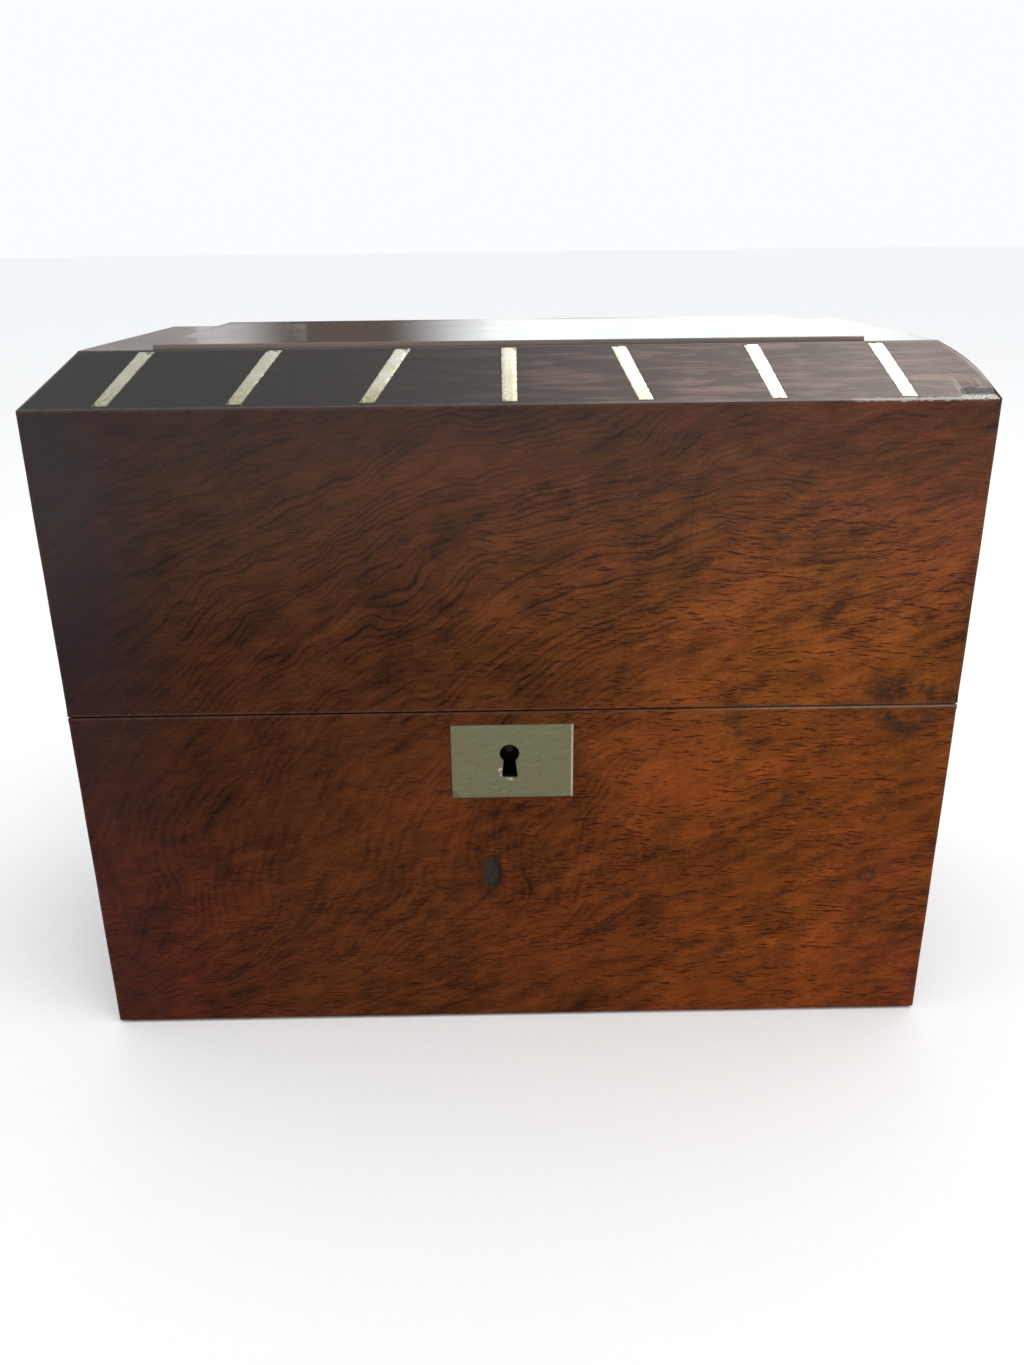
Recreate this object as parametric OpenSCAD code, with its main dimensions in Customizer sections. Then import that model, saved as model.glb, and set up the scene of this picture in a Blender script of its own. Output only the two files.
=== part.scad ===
// Two-compartment tea caddy: a veneered box with a deep hinged lid, a 45 degree
// chamfer all round the lid's top, brass strips let into the front chamfer, a raised
// panel on top, a brass lock with its escutcheon, and two loose inner lids over
// foil-lined wells. Millimetres, +Z up, front at -Y, origin at the centre of the
// carcase's underside.

/* [Carcase] */
// Width of the box over its veneer
body_w = 228; // [180:1:300]
// Depth of the box over its veneer, front to back
body_d = 108; // [86:1:160]
// Height of the base up to the seam
base_h = 95; // [76:1:130]
// Height of the lid's upright walls, seam to lower arris
lid_wall_h = 76.5; // [60:0.5:120]
// Thickness of the carcase boards
board_t = 7; // [7:0.2:12]
// Thickness of the face veneer
veneer_t = 1; // [0.8:0.1:1.6]
// Thickness of the bottom board
bottom_t = 7; // [5:0.5:12]
// Thickness of the baize under the box
baize_t = 0.6; // [0.4:0.1:2]
// Margin from the box's edge to the baize
baize_margin = 2; // [1:0.5:8]
// Gap between the closed lid and the base
seam_gap = 0.3; // [0.2:0.1:0.8]

/* [Lid top] */
// Height and width of the 45 degree chamfer round the top
chamfer = 12.2; // [9:0.1:16]
// Upright edge of the top board below its chamfer
top_board_edge = 1; // [0.8:0.1:4]
// Height of the raised panel above the flat top
panel_raise = 1.1; // [0.6:0.1:3]
// Distance from the chamfer's upper edge to the panel's ends
panel_end_margin = 17.4; // [6:0.1:30]
// Distance from the chamfer's upper edge to the panel's long sides
panel_side_margin = 0.6; // [0.2:0.1:10]
// Thickness of the cloth-faced card under the top board
ceiling_t = 1.2; // [0.6:0.1:3]
// Gap round the cloth-faced card
ceiling_gap = 0.5; // [0.2:0.1:2]

/* [Inlaid strips] */
// Width of a brass strip
strip_w = 3.8; // [2:0.1:6]
// Depth to which a strip is let in
strip_t = 0.7; // [0.4:0.05:0.75]
// How far a strip stands proud of the veneer
strip_proud = 0.05; // [0:0.01:0.2]
// Distance from the box's end to the middle of the outermost strip
strip_end = 24; // [20:0.5:40]
// Bare veneer below a strip, measured up the slope
strip_low_margin = 0.9; // [0.6:0.1:4]
// Bare veneer above a strip, measured up the slope
strip_high_margin = 0.5; // [0.4:0.1:4]

/* [Escutcheon] */
// Width of the escutcheon plate
plate_w = 31.9; // [24:0.1:40]
// Height of the escutcheon plate
plate_h = 21; // [16:0.1:24]
// Distance from the rim down to the plate's top edge
plate_drop = 3.6; // [2:0.1:8]
// Distance of the lock's middle line from the middle of the box
lock_x = -0.7; // [-5:0.1:5]
// Radius of the keyhole's round eye
key_eye_r = 2.5; // [2:0.1:3]
// Distance from the rim down to the centre of the keyhole's eye
key_drop = 11.9; // [11:0.1:12.5]
// Length of the keyhole's slot below the centre of its eye
key_slot = 6.9; // [5:0.1:8]
// Width of the keyhole's slot at its neck
key_neck = 3.1; // [2:0.1:3.6]
// Width of the keyhole's slot at its foot
key_foot = 4; // [3:0.1:4.6]
// Distance of the keyhole from the lock's middle line
key_offset = -0.7; // [-1:0.1:1]

/* [Lock] */
// Thickness of the lock's plate and of the lid's link plate
lock_plate_t = 1.2; // [0.8:0.1:1.4]
// Half the width of the lock's plate
lock_half_w = 26; // [26:0.5:34]
// Half the width of the lock's case
case_half_w = 23; // [23:0.5:24]
// Height of the lock's plate
lock_plate_h = 25; // [24:0.5:32]
// Depth of the lock's case behind its plate
case_d = 4.2; // [4.2:0.1:4.6]
// Wall of the lock's case
case_wall = 0.8; // [0.6:0.05:0.85]
// Width of the lock's top edge plate and of the link plate
edge_plate_w = 6; // [5.6:0.1:6.2]
// Travel of the bolt
bolt_travel = 4.5; // [3:0.1:4.6]
// Thickness of the bolt
bolt_t = 1.2; // [1:0.1:1.3]
// Height of a bolt finger
finger_h = 2.4; // [2:0.1:2.6]
// Distance of each link from the lock's middle line
link_x = 11; // [10.5:0.1:11.5]
// Thickness of a link, along the bolt
link_t = 2; // [1.6:0.1:2.1]
// Width of a link, across the bolt
link_w = 2.6; // [2.5:0.05:2.7]
// Reach of a link below the rim
link_reach = 6.6; // [6.5:0.1:6.8]
// Clearance of the bolt in a link's eye
link_clear = 0.15; // [0.1:0.01:0.2]
// Thickness of the tumbler lever
lever_t = 0.7; // [0.5:0.05:0.75]
// Radius of the tumbler lever's pivot post
post_r = 1.2; // [1:0.1:1.5]
// Radius of the drill pin that guides the key
drill_pin_r = 1; // [0.8:0.1:1.2]
// Thickness of the tumbler's leaf spring
spring_t = 0.3; // [0.2:0.05:0.4]

/* [Hinges] */
// Width of a butt hinge
hinge_w = 38; // [25:1:50]
// Distance from the box's end to the middle of a hinge
hinge_end = 45; // [32:1:60]
// Thickness of a hinge leaf
leaf_t = 1.4; // [1:0.1:1.8]
// Outer radius of a hinge knuckle
knuckle_r = 2.2; // [2:0.1:3]
// Radius of a hinge pin
hinge_pin_r = 1.1; // [0.9:0.1:1.2]
// Radial running clearance of a moving knuckle or lever on its pin
pin_clear = 0.05; // [0.02:0.01:0.1]
// Gap between neighbouring knuckles
knuckle_gap = 0.2; // [0.1:0.05:0.5]
// Knuckles on one hinge
knuckle_count = 5; // [3:2:7]
// Gap between a knuckle and the back of the box
knuckle_stand = 0.2; // [0.1:0.05:1]
// Wood left between a hinge leaf and the inside of the box
leaf_land = 0.7; // [0.5:0.1:1.5]

/* [Screws] */
// Radius of a screw's shank
shank_r = 0.9; // [0.7:0.05:1.1]
// Radius of a screw's countersunk head
head_r = 1.8; // [1.5:0.05:2]
// Length of a screw
screw_len = 9; // [6:0.5:12]
// Length of a lock screw
lock_screw_len = 4.5; // [3:0.5:5]

/* [Interior] */
// Thickness of the lining boards inside the base
lining_t = 3; // [2:0.1:5]
// Height of the lining's lip above the rim
lip_h = 5; // [3:0.1:6.5]
// Clearance between the lip and the inside of the closed lid
lip_clear = 0.4; // [0.35:0.05:0.8]
// Thickness of the partition between the wells
partition_t = 5; // [3:0.1:8]
// Thickness of an inner lid's board
tea_lid_t = 4.5; // [3.5:0.1:7]
// Height of the moulded step round an inner lid
tea_lid_step = 1.5; // [0.8:0.1:2.5]
// Width of the moulded step round an inner lid
tea_lid_step_w = 3; // [1:0.1:6]
// Depth of an inner lid's top below the rim
tea_lid_drop = 4; // [2:0.1:8]
// Gap round an inner lid
tea_lid_gap = 0.6; // [0.3:0.05:1.5]
// Width and height of the ledge strips under the inner lids
ledge = 3; // [2:0.1:5]
// Thickness of the foil that lines the wells
foil_t = 0.3; // [0.2:0.05:0.6]
// Radius of a knob's head
knob_r = 6; // [4:0.1:9]
// Height of a knob above its lid
knob_h = 12; // [9:0.1:16]
// Radius of a knob's neck
knob_neck_r = 2.6; // [2.2:0.1:4]
// Radius of a knob's tenon
tenon_r = 2; // [1.5:0.1:2.1]

/* [Hidden] */
$fn = 64;
eps = 0.02;
through = 4;
mitre_k = sqrt(2) - 1;

// Outer planes of the carcase
front_y = -body_d / 2;
back_y = body_d / 2;
left_x = -body_w / 2;

// Levels
floor_z = baize_t + bottom_t;
lid_z = base_h + seam_gap;
arris_z = lid_z + lid_wall_h;
flat_z = arris_z + chamfer;
top_board_z = arris_z - top_board_edge;
tea_lid_z = base_h - tea_lid_drop;
ledge_z = tea_lid_z - tea_lid_t;

// Boards and the space inside them
wall_t = board_t + veneer_t;
lid_board_t = board_t - lip_clear;
core_w = body_w - 2 * veneer_t;
core_d = body_d - 2 * veneer_t;
well_space_w = body_w - 2 * wall_t;
well_space_d = body_d - 2 * wall_t;
inner_w = well_space_w - 2 * lining_t;
inner_d = well_space_d - 2 * lining_t;
lid_space_w = core_w - 2 * lid_board_t;
lid_space_d = core_d - 2 * lid_board_t;
well_w = (inner_w - partition_t) / 2;
well_x = (partition_t + well_w) / 2;
mitre_reach = chamfer + 2 * veneer_t;

// Inlaid strips: even spacing, a small hand-laid error, and each strip's lean
slope_len = chamfer * sqrt(2);
strip_count = 7;
strip_pitch = (body_w - 2 * strip_end) / (strip_count - 1);
strip_error = [-0.2, 0.2, 0.7, -0.3, -1.5, -0.3, -0.4];
strip_lean = [31, 28.5, 27.5, 0, -20, -18.5, -21];

// Lock: the levels of its layers from the inside of the box outwards, its bolt and lever
case_foot = 2;
edge_plate_land = 0.4;
bore_ease = 0.3;
bar_gap = 0.4;
finger_drop = 5.6;
notch_half_w = 2;
pivot_offset = 14;
pivot_drop = 16.5;
plate_face_y = front_y + wall_t;
case_y1 = plate_face_y - lock_plate_t;
case_y0 = case_y1 - case_d;
case_in_y0 = case_y0 + case_wall;
case_z0 = base_h - lock_plate_h + case_foot;
case_z1 = base_h - lock_plate_t;
edge_plate_y = front_y + veneer_t + edge_plate_land;
key_x = lock_x + key_offset;
key_z = base_h - key_drop;
lever_gap = 0.2;
lever_y = case_y1 - lever_gap - lever_t;
bolt_y = lever_y - lever_gap - bolt_t;
link_y = bolt_y + bolt_t / 2 - link_w / 2;
bar_top_z = base_h - link_reach - bar_gap;
bar_h = 3;
finger_z = base_h - finger_drop;
post_w = 3.5;
post_rest_gap = 0.5;
slot_clear = 0.4;
pivot_x = lock_x - pivot_offset;
pivot_z = base_h - pivot_drop;
lever_boss_r = 2.6;
lever_end = 20;
lever_rise = 6.3;
lever_bar_h = 2.4;
lever_neck = 2.4;
spring_back = 12;
spring_flat = spring_back / 4;
spring_rise = 2.8;
plate_screw_x = 24.3;
link_plate_half_w = 20;
link_screw_x = 16.5;

// Hinges
hinge_x = body_w / 2 - hinge_end;
axis_y = back_y + knuckle_r + knuckle_stand;
axis_z = base_h + seam_gap / 2;
leaf_y = back_y - veneer_t - lid_board_t + leaf_land;
leaf_reach = back_y - leaf_y;
knuckle_pitch = hinge_w / knuckle_count;
hinge_screw_pitch = hinge_w / 3;
hinge_screw_x = [-1, 0, 1] * hinge_screw_pitch;
hinge_screw_y = (leaf_y + back_y - veneer_t) / 2;
csk_h = 1;
slot_w = 0.5;
slot_d = 0.4;

// Inner lids' knobs
knob_squash = 0.6;
knob_foot_r = 0.75 * knob_r;
knob_foot_h = knob_h / 6;
knob_head_z = knob_h - knob_squash * knob_r;

// A box from its lowest corner to its highest corner
module block(low, high) {
    translate(low) cube(high - low);
}

// A profile in Y and Z drawn out along X, and one in X and Z drawn out along Y
module along_x(len) {
    rotate([90, 0, 90]) linear_extrude(len, center = true) children();
}

module along_y(len) {
    rotate([90, 0, 0]) linear_extrude(len, center = true) children();
}

// The stretch of the box that belongs to the front face or to the left face, mitred
module front_mitre() {
    k = mitre_reach;
    translate([0, 0, -through]) linear_extrude(flat_z + 2 * through)
        polygon([[left_x, front_y], [-left_x, front_y],
            [-left_x - k, front_y + k], [left_x + k, front_y + k]]);
}

module left_mitre() {
    k = mitre_reach;
    translate([0, 0, -through]) linear_extrude(flat_z + 2 * through)
        polygon([[left_x, front_y], [left_x + k, front_y + k],
            [left_x + k, back_y - k], [left_x, back_y]]);
}

// Veneer on an upright wall whose outer face is at -span / 2
module wall_profile(span, z0, z1_out, z1_in) {
    polygon([[-span / 2, z0], [-span / 2 + veneer_t, z0],
        [-span / 2 + veneer_t, z1_in], [-span / 2, z1_out]]);
}

// Veneer on the chamfer above that wall
module chamfer_profile(span) {
    polygon([[-span / 2, arris_z], [-span / 2 + chamfer, flat_z],
        [-span / 2 + chamfer + mitre_k * veneer_t, flat_z - veneer_t],
        [-span / 2 + veneer_t, arris_z - mitre_k * veneer_t]]);
}

// The same roof outline for the board under the veneer
module roof_profile(span) {
    s = span / 2;
    polygon([[-s + veneer_t, top_board_z], [s - veneer_t, top_board_z],
        [s - veneer_t, arris_z - mitre_k * veneer_t],
        [s - chamfer - mitre_k * veneer_t, flat_z - veneer_t],
        [-s + chamfer + mitre_k * veneer_t, flat_z - veneer_t],
        [-s + veneer_t, arris_z - mitre_k * veneer_t]]);
}

// A countersunk wood screw, its head flush with z = 0 and its shank downwards
module screw_form(len, top = 0) {
    translate([0, 0, -csk_h]) cylinder(h = csk_h, r1 = shank_r, r2 = head_r);
    translate([0, 0, -len]) cylinder(h = len, r = shank_r);
    if (top > 0) cylinder(h = top, r = head_r);
}

module screw(len) {
    difference() {
        screw_form(len);
        translate([-head_r, -slot_w / 2, -slot_d]) cube([2 * head_r, slot_w, 2 * slot_d]);
    }
}

module screw_hole(len) {
    screw_form(len, through);
}

// Places the leaves' screws on one hinge after the other
module at_hinge_screws() {
    for (side = [-1, 1], x = hinge_screw_x)
        translate([side * hinge_x + x, hinge_screw_y, 0]) children();
}

module at_base_hinge_screws() {
    at_hinge_screws() translate([0, 0, base_h]) children();
}

module at_lid_hinge_screws() {
    at_hinge_screws() translate([0, 0, lid_z]) mirror([0, 0, 1]) children();
}

// Recesses for the hinge leaves, open at the back
module leaf_recess(z0, z1) {
    for (side = [-1, 1])
        block([side * hinge_x - hinge_w / 2, leaf_y, z0],
            [side * hinge_x + hinge_w / 2, back_y + through, z1]);
}

// One hinge leaf with every second knuckle, from the one numbered first
module hinge_leaf(z0, first, bore_r) {
    difference() {
        union() {
            block([-hinge_w / 2, leaf_y, z0], [hinge_w / 2, back_y - knuckle_stand, z0 + leaf_t]);
            for (i = [first : 2 : knuckle_count - 1]) {
                x0 = -hinge_w / 2 + i * knuckle_pitch + knuckle_gap / 2;
                x1 = x0 + knuckle_pitch - knuckle_gap;
                block([x0, leaf_y + leaf_reach / 2, z0], [x1, axis_y, z0 + leaf_t]);
                translate([x0, axis_y, axis_z]) rotate([0, 90, 0])
                    cylinder(h = x1 - x0, r = knuckle_r);
            }
        }
        translate([-hinge_w, axis_y, axis_z]) rotate([0, 90, 0])
            cylinder(h = 2 * hinge_w, r = bore_r);
    }
}

// The keyhole's outline about the centre of its eye
module keyhole(grow = 0) {
    circle(r = key_eye_r + grow);
    polygon([[-key_neck / 2 - grow, 0], [key_neck / 2 + grow, 0],
        [key_foot / 2 + grow, -key_slot - grow], [-key_foot / 2 - grow, -key_slot - grow]]);
}

module keyhole_cut(grow = 0) {
    translate([key_x, front_y + board_t / 2, key_z]) along_y(2 * board_t) keyhole(grow);
}

// Places the screws of the lock: two down through its edge plate, two through its face
module at_lock_edge_screws() {
    for (side = [-1, 1])
        translate([lock_x + side * plate_screw_x, edge_plate_y + edge_plate_w / 2, base_h])
            children();
}

module at_lock_face_screws() {
    for (side = [-1, 1])
        translate([lock_x + side * plate_screw_x, plate_face_y, case_z0 + head_r])
            rotate([-90, 0, 0]) children();
}

module at_link_screws() {
    for (side = [-1, 1])
        translate([lock_x + side * link_screw_x, edge_plate_y + edge_plate_w / 2, lid_z])
            mirror([0, 0, 1]) children();
}

// The block of space that the lock fills in the front board
module lock_space() {
    block([lock_x - lock_half_w, case_y1, base_h - lock_plate_h],
        [lock_x + lock_half_w, plate_face_y + through, base_h + through]);
    block([lock_x - case_half_w, case_y0, case_z0],
        [lock_x + case_half_w, plate_face_y, base_h]);
    block([lock_x - lock_half_w, edge_plate_y, case_z1],
        [lock_x + lock_half_w, plate_face_y, base_h + through]);
}

module link_recess() {
    block([lock_x - link_plate_half_w, edge_plate_y, lid_z - through],
        [lock_x + link_plate_half_w, edge_plate_y + edge_plate_w, lid_z + lock_plate_t]);
}

// Base carcase
module base_front_board() {
    color("#5b3a26") difference() {
        block([-core_w / 2, -core_d / 2, baize_t],
            [core_w / 2, -core_d / 2 + board_t, base_h]);
        lock_space();
        keyhole_cut(bore_ease);
        at_lock_edge_screws() screw_hole(lock_screw_len);
        at_lock_face_screws() screw_hole(lock_screw_len);
    }
}

module base_back_board() {
    color("#5b3a26") difference() {
        block([-core_w / 2, core_d / 2 - board_t, baize_t],
            [core_w / 2, core_d / 2, base_h]);
        leaf_recess(base_h - leaf_t, base_h + through);
        at_base_hinge_screws() screw_hole(screw_len);
    }
}

module base_left_board() {
    color("#5b3a26") block([-core_w / 2, -core_d / 2 + board_t, baize_t],
        [-core_w / 2 + board_t, core_d / 2 - board_t, base_h]);
}

module base_right_board() {
    mirror([1, 0, 0]) base_left_board();
}

module base_bottom_board() {
    color("#6a4a33") block([-well_space_w / 2, -well_space_d / 2, baize_t],
        [well_space_w / 2, well_space_d / 2, floor_z]);
}

module base_face_skin() {
    intersection() {
        along_x(body_w) wall_profile(body_d, baize_t, base_h, base_h);
        front_mitre();
    }
}

module base_front_veneer() {
    color("#6b2f22") difference() {
        base_face_skin();
        escutcheon_plate();
    }
}

module base_back_veneer() {
    color("#6b2f22") difference() {
        mirror([0, 1, 0]) base_face_skin();
        leaf_recess(base_h - leaf_t, base_h + through);
    }
}

module base_left_veneer() {
    color("#6b2f22") intersection() {
        along_y(body_d) wall_profile(body_w, baize_t, base_h, base_h);
        left_mitre();
    }
}

module base_right_veneer() {
    mirror([1, 0, 0]) base_left_veneer();
}

module underside_baize() {
    m = baize_margin;
    color("#2f4a35") block([left_x + m, front_y + m, 0], [-left_x - m, back_y - m, baize_t]);
}

module escutcheon_plate() {
    block([lock_x - plate_w / 2, front_y, base_h - plate_drop - plate_h],
        [lock_x + plate_w / 2, front_y + veneer_t, base_h - plate_drop]);
}

module escutcheon() {
    color("#a89a78") difference() {
        escutcheon_plate();
        keyhole_cut();
    }
}

// Lining boards, partition, ledges and foil
module lining_front() {
    color("#4a2418") block([-well_space_w / 2, -well_space_d / 2, floor_z],
        [well_space_w / 2, -inner_d / 2, base_h + lip_h]);
}

module lining_back() {
    mirror([0, 1, 0]) lining_front();
}

module lining_left() {
    color("#4a2418") block([-well_space_w / 2, -inner_d / 2, floor_z],
        [-inner_w / 2, inner_d / 2, base_h + lip_h]);
}

module lining_right() {
    mirror([1, 0, 0]) lining_left();
}

module partition() {
    color("#4a2418") block([-partition_t / 2, -inner_d / 2, floor_z],
        [partition_t / 2, inner_d / 2, tea_lid_z]);
}

module ledge_strips() {
    color("#5b3a26")
        for (side = [-1, 1], face = [0, 1])
            mirror([0, face, 0])
                block([side * well_x - well_w / 2, -inner_d / 2, ledge_z - ledge],
                    [side * well_x + well_w / 2, -inner_d / 2 + ledge, ledge_z]);
}

module foil_left() {
    x0 = -well_x - well_w / 2;
    x1 = -well_x + well_w / 2;
    color("#9a9c9e") difference() {
        block([x0, -inner_d / 2, floor_z], [x1, inner_d / 2, ledge_z - ledge]);
        block([x0 + foil_t, -inner_d / 2 + foil_t, floor_z + foil_t],
            [x1 - foil_t, inner_d / 2 - foil_t, base_h]);
    }
}

module foil_right() {
    mirror([1, 0, 0]) foil_left();
}

// Lock
module lock_plate() {
    color("#b08d57") difference() {
        union() {
            block([lock_x - lock_half_w, case_y1, base_h - lock_plate_h],
                [lock_x + lock_half_w, plate_face_y, base_h]);
            block([lock_x - lock_half_w, edge_plate_y, case_z1],
                [lock_x + lock_half_w, plate_face_y, base_h]);
        }
        for (side = [-1, 1])
            block([lock_x + side * link_x - link_t / 2 - slot_clear,
                    link_y - slot_clear, case_z1 - through],
                [lock_x + side * link_x + link_t / 2 + slot_clear,
                    case_y1, base_h + through]);
        translate([pivot_x, 0, pivot_z]) post_form(post_r);
        translate([key_x, 0, key_z]) post_form(drill_pin_r);
        at_lock_edge_screws() screw_hole(lock_screw_len);
        at_lock_face_screws() screw_hole(lock_screw_len);
    }
}

module lock_case() {
    color("#a07c48") difference() {
        block([lock_x - case_half_w, case_y0, case_z0], [lock_x + case_half_w, case_y1, case_z1]);
        block([lock_x - case_half_w + case_wall, case_in_y0, case_z0 + case_wall],
            [lock_x + case_half_w - case_wall, case_y1 + through, case_z1 + through]);
        keyhole_cut(bore_ease);
    }
}

// A post riveted through the lock's plate, reaching nearly to the case's front
module post_form(r) {
    translate([0, plate_face_y, 0]) rotate([90, 0, 0])
        cylinder(h = plate_face_y - case_in_y0 - lever_gap, r = r);
}

module lock_posts() {
    color("#8f8f92") {
        translate([pivot_x, 0, pivot_z]) post_form(post_r);
        translate([key_x, 0, key_z]) post_form(drill_pin_r);
    }
}

module lock_screws() {
    color("#b08d57") {
        at_lock_edge_screws() screw(lock_screw_len);
        at_lock_face_screws() screw(lock_screw_len);
    }
}

// A bar with a post and a finger for each link, and a notch for the key
module lock_bolt() {
    reach = post_rest_gap + link_t / 2;
    color("#b89660") difference() {
        union() {
            block([lock_x - link_x - reach - bolt_travel - post_w, bolt_y, bar_top_z - bar_h],
                [lock_x + link_x - reach, bolt_y + bolt_t, bar_top_z]);
            for (side = [-1, 1]) {
                x1 = lock_x + side * link_x - reach;
                block([x1 - bolt_travel - post_w, bolt_y, bar_top_z - bar_h],
                    [x1 - bolt_travel, bolt_y + bolt_t, finger_z + finger_h]);
                block([x1 - bolt_travel - post_w, bolt_y, finger_z],
                    [x1, bolt_y + bolt_t, finger_z + finger_h]);
            }
        }
        block([key_x - notch_half_w, bolt_y - bolt_t, bar_top_z - 2 * bar_h],
            [key_x + notch_half_w, bolt_y + 2 * bolt_t, bar_top_z - bar_h / 2]);
    }
}

module lock_lever() {
    translate([pivot_x, lever_y + lever_t, pivot_z]) rotate([90, 0, 0])
        color("#b08d57") linear_extrude(lever_t) difference() {
            union() {
                circle(r = lever_boss_r);
                polygon([[-lever_boss_r, 0], [lever_boss_r, 0], [lever_boss_r + lever_neck, lever_rise],
                    [lever_end, lever_rise], [lever_end, lever_rise + lever_bar_h],
                    [lever_boss_r, lever_rise + lever_bar_h]]);
            }
            circle(r = post_r + pin_clear);
        }
}

// A bowed leaf riveted to the lever's end
module lock_spring() {
    z0 = lever_rise + lever_bar_h;
    translate([pivot_x, lever_y + lever_t, pivot_z]) rotate([90, 0, 0])
        color("#8f8f92") linear_extrude(lever_t)
            polygon([[lever_end, z0], [lever_end, z0 + spring_t],
                [lever_end - spring_flat, z0 + spring_t],
                [lever_end - spring_back, z0 + spring_rise],
                [lever_end - spring_back, z0 + spring_rise - spring_t],
                [lever_end - spring_flat, z0]]);
}

module link_plate() {
    color("#b08d57") difference() {
        union() {
            block([lock_x - link_plate_half_w, edge_plate_y, lid_z],
                [lock_x + link_plate_half_w, edge_plate_y + edge_plate_w, lid_z + lock_plate_t]);
            for (side = [-1, 1])
                block([lock_x + side * link_x - link_t / 2, link_y, base_h - link_reach],
                    [lock_x + side * link_x + link_t / 2, link_y + link_w, lid_z]);
        }
        block([lock_x - link_plate_half_w, bolt_y - link_clear, finger_z - link_clear],
            [lock_x + link_plate_half_w, bolt_y + bolt_t + link_clear,
                finger_z + finger_h + link_clear]);
        at_link_screws() screw_hole(lock_screw_len);
    }
}

module link_screws() {
    color("#b08d57") at_link_screws() screw(lock_screw_len);
}

// Hinges
module hinge_leaves_base() {
    color("#b08d57") difference() {
        for (side = [-1, 1])
            translate([side * hinge_x, 0, 0]) hinge_leaf(base_h - leaf_t, 0, hinge_pin_r);
        at_base_hinge_screws() screw_hole(screw_len);
    }
}

module hinge_leaves_lid() {
    color("#b08d57") difference() {
        for (side = [-1, 1])
            translate([side * hinge_x, 0, 0])
                hinge_leaf(lid_z, 1, hinge_pin_r + pin_clear);
        at_lid_hinge_screws() screw_hole(screw_len);
    }
}

module hinge_pins() {
    color("#8f8f92")
        for (side = [-1, 1])
            translate([side * hinge_x - hinge_w / 2, axis_y, axis_z]) rotate([0, 90, 0])
                cylinder(h = hinge_w, r = hinge_pin_r);
}

module hinge_screws_base() {
    color("#b08d57") at_base_hinge_screws() screw(screw_len);
}

module hinge_screws_lid() {
    color("#b08d57") at_lid_hinge_screws() screw(screw_len);
}

// Lid carcase
module lid_front_board() {
    color("#5b3a26") difference() {
        block([-core_w / 2, -core_d / 2, lid_z],
            [core_w / 2, -core_d / 2 + lid_board_t, top_board_z]);
        link_recess();
        at_link_screws() screw_hole(lock_screw_len);
    }
}

module lid_back_board() {
    color("#5b3a26") difference() {
        block([-core_w / 2, core_d / 2 - lid_board_t, lid_z],
            [core_w / 2, core_d / 2, top_board_z]);
        leaf_recess(lid_z - through, lid_z + leaf_t);
        at_lid_hinge_screws() screw_hole(screw_len);
    }
}

module lid_left_board() {
    color("#5b3a26") block([-core_w / 2, -core_d / 2 + lid_board_t, lid_z],
        [-core_w / 2 + lid_board_t, core_d / 2 - lid_board_t, top_board_z]);
}

module lid_right_board() {
    mirror([1, 0, 0]) lid_left_board();
}

module lid_top_board() {
    color("#6a4a33") intersection() {
        along_x(core_w) roof_profile(body_d);
        along_y(core_d) roof_profile(body_w);
    }
}

module lid_face_skin() {
    intersection() {
        along_x(body_w) wall_profile(body_d, lid_z, arris_z, arris_z - mitre_k * veneer_t);
        front_mitre();
    }
}

module lid_front_veneer() {
    color("#6b2f22") lid_face_skin();
}

module lid_back_veneer() {
    color("#6b2f22") difference() {
        mirror([0, 1, 0]) lid_face_skin();
        leaf_recess(lid_z - through, lid_z + leaf_t);
    }
}

module lid_left_veneer() {
    color("#6b2f22") intersection() {
        along_y(body_d) wall_profile(body_w, lid_z, arris_z, arris_z - mitre_k * veneer_t);
        left_mitre();
    }
}

module lid_right_veneer() {
    mirror([1, 0, 0]) lid_left_veneer();
}

module chamfer_face_skin() {
    intersection() {
        along_x(body_w) chamfer_profile(body_d);
        front_mitre();
    }
}

// One strip on the front chamfer: its outline leans about its own middle
module strip_form(i, top) {
    x = (i - (strip_count - 1) / 2) * strip_pitch + strip_error[i];
    low = strip_low_margin;
    high = slope_len - strip_high_margin;
    mid = (low + high) / 2;
    x0 = x - (mid - low) * tan(strip_lean[i]);
    x1 = x + (high - mid) * tan(strip_lean[i]);
    w = strip_w / 2;
    translate([0, front_y, arris_z]) rotate([45, 0, 0]) translate([0, 0, -strip_t])
        linear_extrude(strip_t + top)
            polygon([[x0 - w, low], [x0 + w, low], [x1 + w, high], [x1 - w, high]]);
}

module inlay_strip(i) {
    color("#b9ad84") strip_form(i, strip_proud);
}

module chamfer_front_veneer() {
    color("#6b2f22") difference() {
        chamfer_face_skin();
        for (i = [0 : strip_count - 1]) strip_form(i, through);
    }
}

module chamfer_back_veneer() {
    color("#6b2f22") mirror([0, 1, 0]) chamfer_face_skin();
}

module chamfer_left_veneer() {
    color("#6b2f22") intersection() {
        along_y(body_d) chamfer_profile(body_w);
        left_mitre();
    }
}

module chamfer_right_veneer() {
    mirror([1, 0, 0]) chamfer_left_veneer();
}

// The layer of veneer on the flat top, out to its mitre with the chamfer
module flat_profile(span) {
    s = span / 2 - chamfer;
    polygon([[-s, flat_z], [-s + mitre_k * veneer_t, flat_z - veneer_t],
        [s - mitre_k * veneer_t, flat_z - veneer_t], [s, flat_z]]);
}

module flat_layer() {
    intersection() {
        along_x(body_w) flat_profile(body_d);
        along_y(body_d) flat_profile(body_w);
    }
}

module panel_outline(margin) {
    x = body_w / 2 - chamfer - panel_end_margin;
    y = body_d / 2 - chamfer - margin;
    translate([-x, -y]) square([2 * x, 2 * y]);
}

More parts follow.
